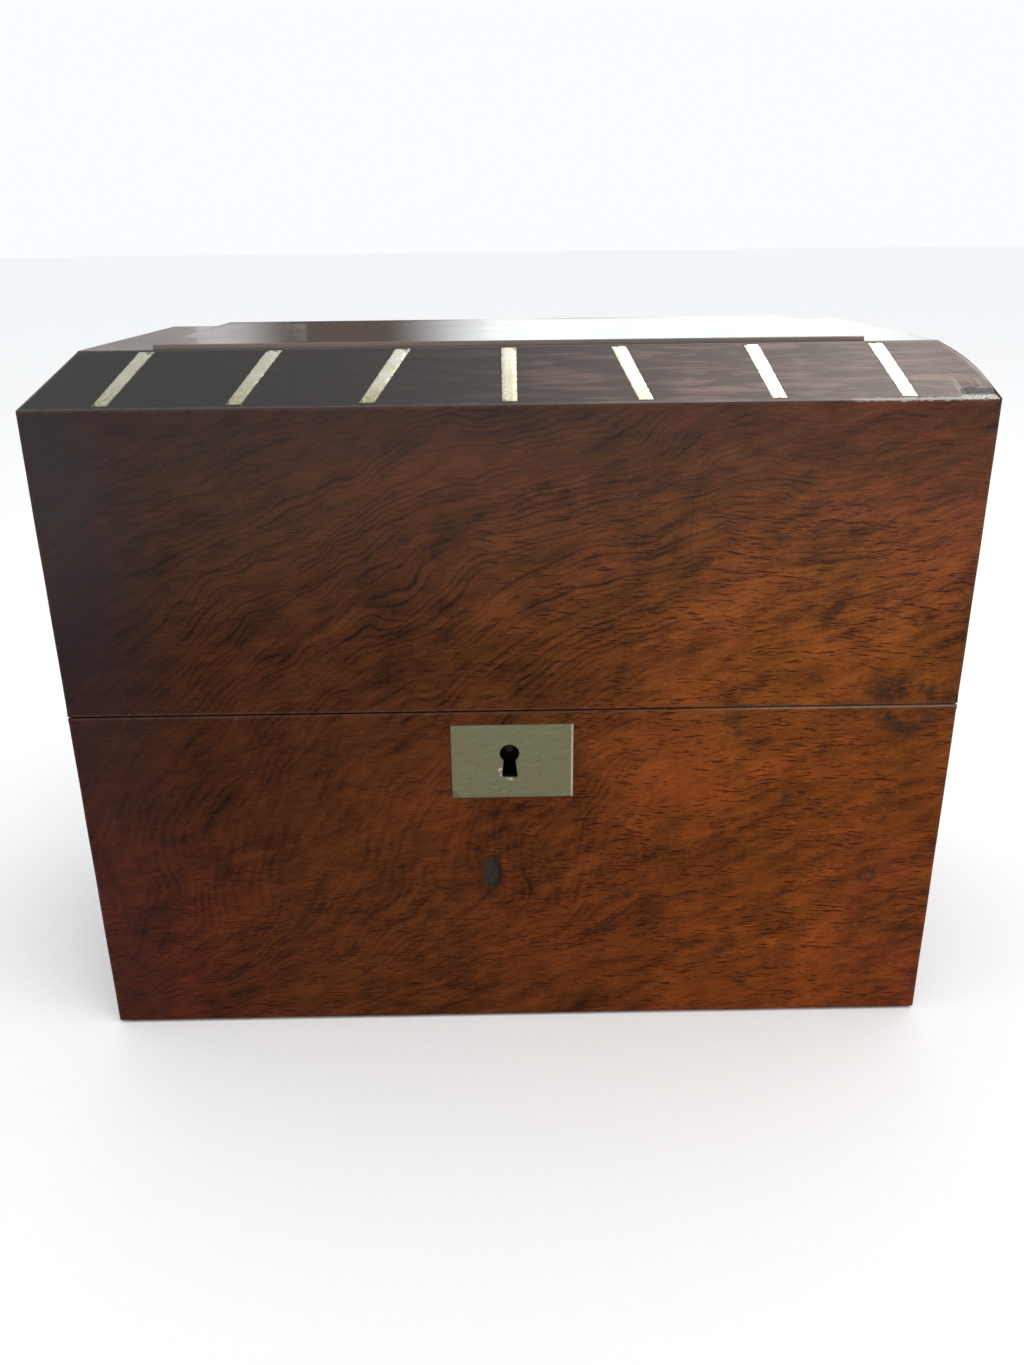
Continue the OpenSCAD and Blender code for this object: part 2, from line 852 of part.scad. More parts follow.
module top_end_bands() {
    color("#6b2f22") difference() {
        flat_layer();
        translate([0, 0, flat_z - through]) linear_extrude(2 * through)
            panel_outline(-chamfer);
    }
}

module top_panel() {
    color("#7a3a28") {
        intersection() {
            flat_layer();
            translate([0, 0, flat_z - through]) linear_extrude(2 * through)
                panel_outline(-chamfer);
        }
        translate([0, 0, flat_z - eps]) linear_extrude(panel_raise + eps)
            panel_outline(panel_side_margin);
    }
}

module lid_ceiling_card() {
    x = lid_space_w / 2 - ceiling_gap;
    y = lid_space_d / 2 - ceiling_gap;
    color("#3a3f78") block([-x, -y, top_board_z - ceiling_t], [x, y, top_board_z]);
}

// Inner lids
module tea_lid_left() {
    x = well_w / 2 - tea_lid_gap;
    y = inner_d / 2 - tea_lid_gap;
    color("#6b2f22") translate([-well_x, 0, 0]) difference() {
        union() {
            block([-x, -y, ledge_z], [x, y, tea_lid_z - tea_lid_step]);
            block([-x + tea_lid_step_w, -y + tea_lid_step_w, ledge_z],
                [x - tea_lid_step_w, y - tea_lid_step_w, tea_lid_z]);
        }
        translate([0, 0, ledge_z - through]) cylinder(h = tea_lid_t + 2 * through, r = tenon_r);
    }
}

module tea_lid_right() {
    mirror([1, 0, 0]) tea_lid_left();
}

// A turned knob: foot, neck and flattened ball, with a tenon down through the lid
module knob_profile() {
    intersection() {
        square([knob_r, knob_h + tea_lid_t]);
        union() {
            square([tenon_r, tea_lid_t + eps]);
            translate([0, tea_lid_t]) {
                square([knob_foot_r, knob_foot_h]);
                square([knob_neck_r, knob_head_z]);
                intersection() {
                    translate([0, knob_head_z]) scale([1, knob_squash]) circle(r = knob_r);
                    square([knob_r, knob_h]);
                }
            }
        }
    }
}

module tea_knob_left() {
    color("#2a1c16") translate([-well_x, 0, ledge_z]) rotate_extrude() knob_profile();
}

module tea_knob_right() {
    mirror([1, 0, 0]) tea_knob_left();
}

base_front_board();
base_back_board();
base_left_board();
base_right_board();
base_bottom_board();
base_front_veneer();
base_back_veneer();
base_left_veneer();
base_right_veneer();
underside_baize();
escutcheon();
lining_front();
lining_back();
lining_left();
lining_right();
partition();
ledge_strips();
foil_left();
foil_right();
lock_plate();
lock_case();
lock_posts();
lock_screws();
hinge_leaves_base();
hinge_pins();
hinge_screws_base();
lock_bolt();
lock_lever();
lock_spring();
lid_front_board();
lid_back_board();
lid_left_board();
lid_right_board();
lid_top_board();
lid_front_veneer();
lid_back_veneer();
lid_left_veneer();
lid_right_veneer();
chamfer_front_veneer();
chamfer_back_veneer();
chamfer_left_veneer();
chamfer_right_veneer();
top_end_bands();
top_panel();
inlay_strip(0);  // inlay_strip_1
inlay_strip(1);  // inlay_strip_2
inlay_strip(2);  // inlay_strip_3
inlay_strip(3);  // inlay_strip_4
inlay_strip(4);  // inlay_strip_5
inlay_strip(5);  // inlay_strip_6
inlay_strip(6);  // inlay_strip_7
link_plate();
link_screws();
hinge_leaves_lid();
hinge_screws_lid();
lid_ceiling_card();
tea_lid_left();
tea_knob_left();
tea_lid_right();
tea_knob_right();
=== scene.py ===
import math

import bmesh
import bpy
import numpy as np
from mathutils import Matrix, Vector, noise


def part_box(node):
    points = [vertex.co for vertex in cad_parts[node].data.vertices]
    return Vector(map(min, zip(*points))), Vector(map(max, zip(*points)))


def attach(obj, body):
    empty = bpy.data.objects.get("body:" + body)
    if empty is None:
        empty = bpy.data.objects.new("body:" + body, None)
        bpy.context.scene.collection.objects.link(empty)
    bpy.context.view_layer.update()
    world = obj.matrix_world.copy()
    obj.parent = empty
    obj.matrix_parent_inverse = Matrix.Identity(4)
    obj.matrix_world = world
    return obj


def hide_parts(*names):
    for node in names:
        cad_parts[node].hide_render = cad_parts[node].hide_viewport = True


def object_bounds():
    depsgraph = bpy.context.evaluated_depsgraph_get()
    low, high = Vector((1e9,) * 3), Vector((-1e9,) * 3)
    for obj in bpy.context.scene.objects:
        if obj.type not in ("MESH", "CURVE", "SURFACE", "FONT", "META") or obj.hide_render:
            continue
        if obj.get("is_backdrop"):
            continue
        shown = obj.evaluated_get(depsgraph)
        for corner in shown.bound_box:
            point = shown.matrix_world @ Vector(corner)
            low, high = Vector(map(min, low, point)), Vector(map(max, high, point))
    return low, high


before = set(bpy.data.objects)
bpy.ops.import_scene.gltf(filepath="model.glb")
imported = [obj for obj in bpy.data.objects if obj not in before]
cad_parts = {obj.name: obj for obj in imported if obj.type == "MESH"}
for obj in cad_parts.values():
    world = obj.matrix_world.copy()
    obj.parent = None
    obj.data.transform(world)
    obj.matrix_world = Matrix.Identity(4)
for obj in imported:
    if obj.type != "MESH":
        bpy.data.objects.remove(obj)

bl_info = {
    "name": "Tea caddy",
    "version": (1, 0, 0),
    "blender": (4, 5, 0),
    "location": "View3D > Sidebar > Tea caddy",
    "description": "Dresses the frame of a veneered tea caddy with its woods, brass and cloth",
    "category": "Object",
}

MM = 0.001
CAD_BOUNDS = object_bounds()

# Sizes of the carcase, read from the frame
BASE_LOW, BASE_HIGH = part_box("base_front_veneer")
LID_LOW, LID_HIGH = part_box("lid_front_veneer")
BACK_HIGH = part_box("base_back_veneer")[1]
PANEL_LOW, PANEL_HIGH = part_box("top_panel")
BANDS_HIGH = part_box("top_end_bands")[1]
HALF_W = BASE_HIGH.x
HALF_D = BACK_HIGH.y
VENEER = BASE_HIGH.y - BASE_LOW.y
ARRIS = LID_HIGH.z
FLAT = BANDS_HIGH.z
CHAMFER = FLAT - ARRIS
RIM = BASE_HIGH.z
SEAM = LID_LOW.z
STRIP_NODES = ["inlay_strip_%d" % n for n in range(1, 8)]

# What a sheet's back is shifted by at a 45-degree fold, as a share of its thickness
MITRE = math.sqrt(2) - 1

# The keyhole's middle, and the sizes of its eye and slot
KEY_X, KEY_Z = -1.4 * MM, RIM - 11.9 * MM
EYE, NECK, FOOT, SLOT = 2.5 * MM, 1.5 * MM, 2.0 * MM, 6.9 * MM

# Marks on the front, in millimetres: the filled hole's middle, the height of the painted
# highlight on the base's rim, and where the veneer is missing from the lid's right-hand corner
PLUG_X, PLUG_Z = -6.9, 47.6
RIM_LIGHT = 95.0
CHIP_X = 104.6

# The stage, in metres
FLOOR_REACH = 40.0
CARD_Y = 1.5


def colour_setting(name, description, default):
    """A colour in the panel."""
    return bpy.props.FloatVectorProperty(name=name, description=description, subtype="COLOR",
                                         size=3, default=default)


def length_setting(name, description, default, low, high):
    """A length in the panel. Its numbers are in millimetres."""
    return bpy.props.FloatProperty(name=name, description=description, unit="LENGTH",
                                   default=default * MM, min=low * MM, max=high * MM)


def angle_setting(name, description, degrees):
    """An angle in the panel."""
    return bpy.props.FloatProperty(name=name, description=description, subtype="ANGLE",
                                   default=math.radians(degrees))


class CaddyWood(bpy.types.PropertyGroup):
    """Colours and surface of the veneers."""
    shade: colour_setting("Shade", "Colour of the dark figure", (0.026, 0.0080, 0.0028))
    glow: colour_setting("Glow", "Colour of the wood between the figure",
                         (0.215, 0.063, 0.0085))
    bare: colour_setting("Bare wood", "Colour of worn and chipped wood", (0.30, 0.29, 0.25))
    edge_round: length_setting("Edge rounding", "Radius of the worn outer edges", 0.7, 0.1, 2)
    ripple: length_setting("Ripple", "Depth of the unevenness of the veneer", 0.05, 0, 0.3)
    rough: bpy.props.FloatProperty(
        name="Roughness", description="Roughness of the faces' polish", subtype="FACTOR",
        default=0.42, min=0, max=1)


class CaddyMetal(bpy.types.PropertyGroup):
    """Colours of the metal fittings."""
    strip: colour_setting("Strips", "Colour of the inlaid strips", (0.62, 0.61, 0.52))
    plate: colour_setting("Escutcheon", "Colour of the escutcheon", (0.138, 0.130, 0.070))
    fitting: colour_setting("Fittings", "Colour of the lock and hinges", (0.58, 0.42, 0.20))
    plate_gap: length_setting("Plate gap", "Gap round the escutcheon and strips", 0.05, 0.02,
                              0.4)


class CaddyCloth(bpy.types.PropertyGroup):
    """Colours of the cloths."""
    baize: colour_setting("Baize", "Colour of the baize underneath", (0.022, 0.060, 0.032))
    card: colour_setting("Lid cloth", "Colour of the cloth in the lid", (0.035, 0.045, 0.16))


class CaddyStage(bpy.types.PropertyGroup):
    """Light, floor and camera."""
    eye: bpy.props.FloatVectorProperty(
        name="Eye", description="Place of the camera", subtype="TRANSLATION", unit="LENGTH",
        size=3, default=(-0.0033, -0.3146, 0.2060))
    turn: angle_setting("Turn", "Turn of the camera to the right", 0.61)
    dip: angle_setting("Dip", "Dip of the camera below level", 21.56)
    tilt: angle_setting("Tilt", "Roll of the camera", -0.665)
    lens: bpy.props.FloatProperty(
        name="Lens", description="Focal length on a 36 mm frame", default=29.19, min=10,
        max=200)
    key: bpy.props.FloatProperty(
        name="Key light", description="Power of the key light", default=6.0, min=0)
    window: bpy.props.FloatProperty(
        name="Window light", description="Brightness of the window behind the box",
        default=1.7, min=0)
    air: bpy.props.FloatProperty(
        name="Air", description="Strength of the light from all round", default=1.0, min=0)


# ---------------------------------------------------------------- shader expressions

def maths(kind, turned=False):
    """A method that makes a maths node of a value and the others that it is given."""
    def method(value, *others):
        terms = (*others, value) if turned else (value, *others)
        return value.graph.make("ShaderNodeMath", {"operation": kind}, dict(enumerate(terms)))
    return method


class Value:
    """A number or vector in a shader, for use in Python expressions."""

    __add__ = __radd__ = maths("ADD")
    __mul__ = __rmul__ = maths("MULTIPLY")
    __sub__, __rsub__ = maths("SUBTRACT"), maths("SUBTRACT", turned=True)
    __truediv__ = maths("DIVIDE")
    __abs__ = maths("ABSOLUTE")
    least, most = maths("MINIMUM"), maths("MAXIMUM")
    sine, root, angle_to = maths("SINE"), maths("SQRT"), maths("ARCTAN2")

    def __init__(self, graph, socket):
        self.graph = graph
        self.socket = socket

    def __neg__(self):
        return self * -1.0

    def clamped(self):
        """The number kept from 0 to 1."""
        settings = {"operation": "ADD", "use_clamp": True}
        return self.graph.make("ShaderNodeMath", settings, {0: self, 1: 0.0})

    def step(self, low, high):
        """0 below low, 1 above high and a smooth rise between; falls if low is above high."""
        if low > high:
            return 1 - self.step(high, low)
        settings = {"interpolation_type": "SMOOTHSTEP", "clamp": True}
        return self.graph.make("ShaderNodeMapRange", settings,
                               {"Value": self, "From Min": low, "From Max": high})


class Graph:
    """The node tree of one material, with the shader that it ends in. spot is the place on
    the object in millimetres, and x, y and z are its parts."""

    def __init__(self, name):
        self.material = bpy.data.materials.new(name)
        self.material.use_nodes = True
        self.tree = self.material.node_tree
        self.shader = self.tree.nodes["Principled BSDF"]
        place = self.make("ShaderNodeTexCoord", {}, {}, "Object")
        self.spot = self.make("ShaderNodeVectorMath", {"operation": "SCALE"},
                              {0: place, "Scale": 1 / MM})
        parts = self.node("ShaderNodeSeparateXYZ", {}, {0: self.spot})
        self.x, self.y, self.z = (Value(self, s) for s in parts.outputs)

    def node(self, kind, settings, inputs):
        """Adds a node: its settings first, then its sockets' values or links."""
        made = self.tree.nodes.new(kind)
        for key, value in settings.items():
            setattr(made, key, value)
        for key, value in inputs.items():
            if isinstance(value, Value):
                self.tree.links.new(value.socket, made.inputs[key])
            else:
                made.inputs[key].default_value = value
        return made

    def make(self, kind, settings, inputs, output=None):
        """Adds a node and returns its output of that name, or its first one in use."""
        made = self.node(kind, settings, inputs)
        if output is None:
            return Value(self, next(s for s in made.outputs if s.enabled))
        return Value(self, made.outputs[output])

    def vector(self, x, y, z=0.0):
        """A vector from three numbers."""
        return self.make("ShaderNodeCombineXYZ", {}, {0: x, 1: y, 2: z})

    def noise(self, where, scale=1.0, detail=3.0, rough=0.5, warp=0.0):
        """Noise from about 0.2 to 0.8, with a mean of a half."""
        inputs = {"Vector": where, "Scale": scale, "Detail": detail, "Roughness": rough,
                  "Distortion": warp}
        return self.make("ShaderNodeTexNoise", {"noise_dimensions": "3D"}, inputs)

    def cells(self, where, scale=1.0, output="Distance"):
        """Distance to the middle of the nearest cell of a grid, or that cell's colour."""
        return self.make("ShaderNodeTexVoronoi", {"voronoi_dimensions": "2D"},
                         {"Vector": where, "Scale": scale}, output)

    def flecks(self, where, scale, share):
        """Spots in that share of the cells of a grid."""
        spread = self.cells(where, scale)
        lot = self.make("ShaderNodeSeparateXYZ", {}, {0: self.cells(where, scale, "Color")})
        return spread.step(0.45, 0.2) * lot.step(1 - share, 1 - share + 0.02)

    def mix(self, share, first, second):
        """first where share is 0 and second where it is 1, as colours."""
        first, second = (c if isinstance(c, Value) else (*c, 1) for c in (first, second))
        settings = {"data_type": "RGBA", "clamp_factor": True}
        made = self.node("ShaderNodeMix", settings, {0: share, 6: first, 7: second})
        return Value(self, made.outputs[2])

    def change(self, kind, colour, amount):
        """A colour whose parts are each changed by a part of another."""
        return self.make("ShaderNodeVectorMath", {"operation": kind}, {0: colour, 1: amount})

    def tint(self, colour, amount):
        """A colour made lighter or darker by a number."""
        return self.change("MULTIPLY", colour, self.vector(amount, amount, amount))

    def bump(self, height, depth):
        """A normal from a height of 0 to 1 that is depth metres deep."""
        inputs = {"Height": height, "Distance": depth, "Strength": 1.0}
        return self.make("ShaderNodeBump", {}, inputs)

    def finish(self, **sockets):
        """Sets the shader's sockets, named with _ for a space, and returns the material."""
        for name, value in sockets.items():
            socket = self.shader.inputs[name.replace("_", " ")]
            if isinstance(value, Value):
                self.tree.links.new(value.socket, socket)
            elif isinstance(value, tuple):
                socket.default_value = (*value, 1)
            else:
                socket.default_value = value
        return self.material


def wood_settings():
    """The panel's settings for the veneers."""
    return bpy.context.scene.caddy_wood


def metal_settings():
    """The panel's settings for the metal."""
    return bpy.context.scene.caddy_metal


def once(maker, name):
    """The material of that name, made when it is first asked for."""
    return bpy.data.materials.get(name) or maker()


# ---------------------------------------------------------------- woods

def pores(g, u, v, length, width, share):
    """Short dark pores that run along u. The cells are sheared, so their columns don't show."""
    wander = g.noise(g.vector(u, v, 3.0), 0.035, 2) * 8
    row = (v + wander) / width
    return g.flecks(g.vector(u / length + row * 0.618, row, 7.0), 1.0, share)


def ring_field(g, u, v):
    """Two coordinates of the figure in millimetres: across its lines and along them. The
    lines stand upright on the left of the base and lean over to the right above and below."""
    where = g.vector(u, v, 1.7)
    drift_u = (g.noise(where, 0.013, 3, 0.55) - 0.5) * 50
    drift_v = (g.noise(where, 0.017, 3, 0.55, 0.4) - 0.5) * 32
    du = (u + drift_u - 150) * 0.48
    dv = v + drift_v - 45
    low = dv.least(0)
    across = (du * du + dv * dv - low * low * 4.5).most(60.0).root()
    along = dv.angle_to(-du) * 60
    return across, along


def edge_of(g):
    """Distance to the piece's nearest edge, in millimetres."""
    return g.make("ShaderNodeAttribute", {"attribute_name": "edge"}, {}, "Fac")


def front_rosewood():
    """The figured sheet that runs on from the lid's front to the base's front."""
    s = wood_settings()
    g = Graph("front_rosewood")
    u, v = g.x, g.z
    ring, turn = ring_field(g, u, v)
    broad = g.noise(g.vector(ring * 0.09, turn * 0.02), 1.0, 3, 0.55)
    fine = g.noise(g.vector(ring * 0.5, turn * 0.11, 4.0), 1.0, 4, 0.6)
    wave = (ring * 4.2 + (fine - 0.5) * 6 + (broad - 0.5) * 12).sine()
    patch = g.noise(g.vector(ring * 0.3, turn * 0.09, 9.0), 1.0, 3).step(0.36, 0.6)
    # the lines are sharp on the lid and soft on the base, and fade low on the right
    calm = u.step(16, 56) * v.step(132, 100)
    lid_share = v.step(84, 112) * (1 - 0.25 * u.step(20, 90))
    base_share = v.step(112, 84) * 0.55
    lines = (wave.step(0.2, 1.0) * lid_share + wave.step(-0.5, 1.0) * base_share) * patch
    lines = lines * (1 - calm)
    silk = g.noise(g.vector(ring * 1.5, turn * 0.32, 2.0), 1.0, 4, 0.65)
    fibre = g.noise(g.vector(u * 0.3, (v - u * 0.08) * 2.2, 5.0), 1.0, 4, 0.75)
    blotch = g.noise(g.vector(u, v, 11.0), 0.04, 5, 0.6)
    mottle = g.noise(g.vector(u * 0.10, (v - u * 0.3) * 0.26, 12.0), 1.0, 4, 0.6, 0.3)
    ringed = (fine * 0.6 + silk * 0.4 - 0.5) * (1 - calm * 0.85) + 0.5
    stroke = g.noise(g.vector(u * 0.16 + v * 0.10, v * 1.1 - u * 0.62, 8.0), 1.0, 3, 0.6)
    stroke = stroke.step(0.54, 0.68) * v.step(128, 96) * (1 - calm)
    grit = g.noise(g.vector(u * 0.8, v * 1.5, 13.0), 1.0, 3, 0.7)
    figure = broad * 0.4 + ringed + fibre * 0.4 + blotch * 0.9 + mottle * 1.1 + grit * 0.5
    figure = ((figure - 2.15) * 1.35 + 0.57 - lines * 0.36 + stroke * 0.13).clamped()
    glow = g.mix(blotch.step(0.4, 0.62), s.glow, (0.215, 0.056, 0.0115))
    # towards the left the wood is dull and brown, with the orange gone out of it
    lively = u.step(-112, 75)
    glow = g.mix(lively, (0.150, 0.047, 0.016), glow)
    colour = g.mix(figure, s.shade, glow)
    # the wood is redder towards both ends and low on the left
    red_end = (u.step(62, 112) * v.step(120, 170)).most(u.step(80, 110) * v.step(85, 20))
    red_low = u.step(-50, -108) * v.step(100, 30)
    red = (red_end * 0.75).most(red_low * 0.8) * blotch.step(0.3, 0.55)
    colour = g.mix(red, colour, g.mix(figure, (0.034, 0.008, 0.006), (0.200, 0.038, 0.014)))
    slope = v - u * 0.06
    dash = pores(g, u, slope, 5.2, 0.72, 0.17).most(pores(g, u, slope + 40, 2.9, 0.54, 0.22))
    dash = dash.most(pores(g, u, slope + 80, 8.0, 0.62, 0.08))
    dash = dash * g.noise(g.vector(u * 0.7, v * 1.4, 21.0), 0.12, 4, 0.6).step(0.36, 0.54)
    dash = dash * (0.40 + 0.55 * (u.step(-50, 30)).most(v.step(70, 25) * 0.7))
    dash = dash * (1 - v.step(140, 160) * 0.6)
    colour = g.mix(dash * 0.9, colour, (0.022, 0.0055, 0.0026))
    stain = g.noise(g.vector(u * 0.10, v * 0.17, 26.0), 1.0, 3, 0.6).step(0.58, 0.68)
    colour = g.mix(stain * 0.4 * calm, colour, (0.062, 0.016, 0.006))
    # painted light: the wood is brightened towards the right, at the top right, low on the left
    # and in two soft patches, as light falling from the right would
    light = 0.40 + 0.38 * u.step(-112, 60) + 0.26 * u.step(20, 90) * v.step(168, 130)
    light = light + 0.14 * u.step(10, -50) * v.step(95, 20)
    lit_patches = spot_mask(u, v, 62, 112, 40, 24, 0.1).most(spot_mask(u, v, 44, 78, 26, 22))
    light = light + lit_patches * 0.22
    colour = g.tint(colour, light)
    # lower down the polish is clear and the colour deeper
    clear = v.step(125, 60)
    colour = g.change("MULTIPLY", colour,
                      g.vector(1 + clear * 0.04, 1 - clear * 0.13, 1 - clear * 0.36))
    # painted shade: darker at the left end and along the top of the lid's front, with a bluish
    # cast of painted reflection at the left end
    painted_shade = u.step(-76, -113) * (0.35 + 0.65 * v.step(45, 130))
    painted_shade = (painted_shade * 0.95).most(v.step(146, 172) * 0.5 * u.step(100, 50))
    painted_shade = painted_shade * g.noise(g.vector(u, v, 2.2), 0.03, 3).step(0.15, 0.55)
    colour = g.mix(v.step(112, 165) * 0.42, colour, g.tint(colour, 0.55))
    colour = g.mix(painted_shade, colour, (0.019, 0.0115, 0.0135))
    # painted sheen: a pale grey haze at the top of the lid's front and high on the left end,
    # standing for reflected light
    painted_sheen = v.step(108, 160) * 0.8 + u.step(-85, -113) * v.step(90, 150) * 0.4
    colour = g.mix(painted_sheen, colour, g.change("ADD", colour, (0.013, 0.014, 0.0135)))
    colour = g.mix(smudges(g, u, v), colour, (0.016, 0.0125, 0.008))
    colour = plug(g, u, v, colour)
    wear, pale = edge_wear(g, u, v)
    # painted highlight: the base's top edge is lightened at the right, where it would catch the
    # light
    rim = (v - RIM_LIGHT).step(-0.62, -0.32) * v.step(RIM_LIGHT + 0.2, RIM_LIGHT + 0.05)
    rim = rim * u.step(38, 70)
    colour = g.mix(rim * 0.7, colour, (0.30, 0.19, 0.14))
    colour = g.mix(wear * 0.45, colour, (0.085, 0.05, 0.035))
    colour = g.mix(pale, colour, s.bare)
    crack = hairlines(g, u, v)
    colour = g.mix(crack, colour, (0.010, 0.006, 0.004))
    height = (1 - dash * 0.5) * 0.6 + silk * 0.15 + fibre * 0.12 - crack * 0.5
    dust = g.flecks(g.vector(u, v, 31.0), 0.8, 0.012)
    rough = s.rough + (blotch - 0.5) * 0.25 + dash * 0.2 + wear * 0.1
    colour = g.mix(dust * 0.2, colour, (0.12, 0.10, 0.085))
    return g.finish(Base_Color=colour, Roughness=rough.clamped(),
                    Normal=g.bump(height, 0.05 * MM), Specular_IOR_Level=0.05)


def spot_mask(u, v, at_u, at_v, size_u, size_v, slant=0.0):
    """A soft oval spot: where its middle is, its half width and height, and its slant."""
    du = (u - at_u) / size_u
    dv = (v - at_v - (u - at_u) * slant) / size_v
    return (du * du + dv * dv).step(1.3, 0.35)


def smudges(g, u, v):
    """Dark marks in the polish: by the seam's right end, and small knots."""
    ragged = g.noise(g.vector(u, v, 14.0), 0.16, 4, 0.65).step(0.42, 0.6)
    seam = spot_mask(u, v, 103, 98.5, 14, 4.0).most(spot_mask(u, v, 101, 91.5, 9, 5.0))
    seam = seam.most(spot_mask(u, v, 56, 90, 3.0, 8.0) * 0.7)
    knots = spot_mask(u, v, -6.0, 117.5, 2.0, 1.8, 0.4)
    more = ((79.5, 120.5, 3.0, 2.6, 0.8), (8.0, 152.0, 2.6, 2.2, 0.2),
            (73.0, 68.0, 4.0, 3.4, 0.5), (61.0, 52.0, 3.2, 2.4, 0.2),
            (-4.0, 27.0, 2.6, 2.2, 0.3), (31.0, 41.0, 2.0, 2.4, 0.6),
            (58.0, 20.0, 4.4, 3.0, 0.3), (96.0, 45.0, 3.0, 3.0, 0.2))
    for knot in more:
        knots = knots.most(spot_mask(u, v, *knot))
    return (seam * ragged * 0.75).most(knots * 0.62 * ragged)


def plug(g, u, v, colour):
    """A filled hole below the lock."""
    oval = spot_mask(u, v, PLUG_X, PLUG_Z, 2.3, 4.9)
    halo = spot_mask(u, v, PLUG_X, PLUG_Z - 0.4, 4.2, 7.5)
    ragged = g.noise(g.vector(u, v, 3.0), 0.9, 2)
    colour = g.mix(halo * 0.35, colour, (0.014, 0.006, 0.004))
    rim = spot_mask(u, v, PLUG_X + 0.4, PLUG_Z, 2.7, 5.4) * u.step(-7.6, -5.6)
    colour = g.mix(rim, colour, (0.008, 0.005, 0.004))
    return g.mix(oval, colour, g.mix(ragged, (0.014, 0.011, 0.008), (0.040, 0.032, 0.021)))


def edge_wear(g, u, v):
    """Rubbed edges all round, and the pale chips along the lid's arris at the right."""
    edge = edge_of(g)
    ragged = g.noise(g.vector(u, v, 6.0), 0.5, 3, 0.6)
    wear = (edge + (ragged - 0.5) * 1.6).step(0.9, 0.1)
    chips = (edge + (ragged - 0.5) * 1.2).step(0.42, 0.2)
    along = g.noise(g.vector(u * 0.4, 0.0, 8.0), 1.0, 3, 0.7)
    pale = chips * u.step(76, 86) * v.step(ARRIS / MM - 3, ARRIS / MM - 1) * along.step(0.36, 0.5)
    return wear, pale.clamped()


def hairlines(g, u, v):
    """Fine cracks along and across the veneer."""
    sway = (g.noise(g.vector(u, v * 0.4, 17.0), 0.3, 2) - 0.5) * 2.0
    up = abs(u - 43.0 + sway).step(0.10, 0.03) * v.step(134, 137) * v.step(153, 149)
    low = abs(v - 27.5 - (u + 110) * 0.004 + sway * 0.3).step(0.08, 0.02) * u.step(-104, -107)
    slip = abs(v - 138.0 - (u - 58) * 0.9 + sway).step(0.14, 0.04)
    slip = slip * u.step(55.5, 56.5) * u.step(60.0, 59.0)
    return (up.most(low) * 0.8).most(slip * 0.5)


def plain_rosewood(name, along, across, third, tone, key, streak=1.0):
    """Rosewood whose stripes run along one direction: ends, back, slopes, top and linings.
    along, across and third name the axes, key picks the figure and streak its strength."""
    s = wood_settings()
    g = Graph(name)
    u, v, w = getattr(g, along), getattr(g, across), -abs(getattr(g, third))
    bend = (g.noise(g.vector(u * 0.012, v * 0.03, key), 1.0, 3, 0.5) - 0.5) * 14
    stripe = g.noise(g.vector(u * 0.006, (v + bend + w) * 0.16, key), 1.0, 4, 0.6)
    fine = g.noise(g.vector(u * 0.03, (v + bend + w) * 0.95, key + 3), 1.0, 4, 0.65)
    blotch = g.noise(g.vector(u, v, key + w * 0.01), 0.03, 3, 0.6)
    line = ((v + bend + w) * 1.3 + stripe * 14).sine().step(0.5, 1.0)
    figure = stripe * 1.2 * streak + fine * 0.7 + blotch * 0.9 - 1.40
    figure = (figure * 1.5 + 0.5 - line * 0.22 * streak).clamped()
    colour = g.mix(figure, s.shade, g.mix(blotch.step(0.35, 0.65), s.glow,
                                          (0.128, 0.036, 0.013)))
    dash = pores(g, u, v + w, 3.2, 0.36, 0.3)
    colour = g.mix(dash * 0.7, colour, (0.010, 0.0035, 0.0025))
    colour = g.tint(colour, tone)
    return g, colour, figure, dash, blotch


def side_rosewood(name, along, across, third, tone, rough, key, sheet=True):
    """Rosewood with nothing but its stripes and wear. A sheet wears along its edges, and a
    frame piece, which has no distance to its edge, in patches."""
    g, colour, figure, dash, blotch = plain_rosewood(name, along, across, third, tone, key)
    u, v = getattr(g, along), getattr(g, across)
    ragged = g.noise(g.vector(u, v, key + 5), 0.5, 3)
    if sheet:
        wear = (edge_of(g) + (ragged - 0.5) * 1.6).step(0.9, 0.1)
    else:
        wear = ragged.step(0.62, 0.72) * 0.4
    colour = g.mix(wear * 0.45, colour, (0.085, 0.05, 0.034))
    scratch = scratches(g, u, v, key)
    colour = g.mix(scratch * 0.25, colour, (0.10, 0.07, 0.05))
    rough = (rough + (blotch - 0.5) * 0.2 + scratch * 0.15 + dash * 0.15).clamped()
    height = (1 - dash * 0.5) * 0.6 + figure * 0.15 - scratch * 0.15
    return g.finish(Base_Color=colour, Roughness=rough, Normal=g.bump(height, 0.05 * MM),
                    Specular_IOR_Level=0.14)


def scratches(g, u, v, key):
    """Long fine scratches in two directions."""
    one = g.noise(g.vector(u * 0.03 + v * 0.01, v * 2.8 - u * 0.5, key), 1.0, 1).step(0.70, 0.74)
    two = g.noise(g.vector(u * 2.2 + v * 0.9, v * 0.04, key + 2), 1.0, 1).step(0.71, 0.75)
    return one.most(two * 0.7)


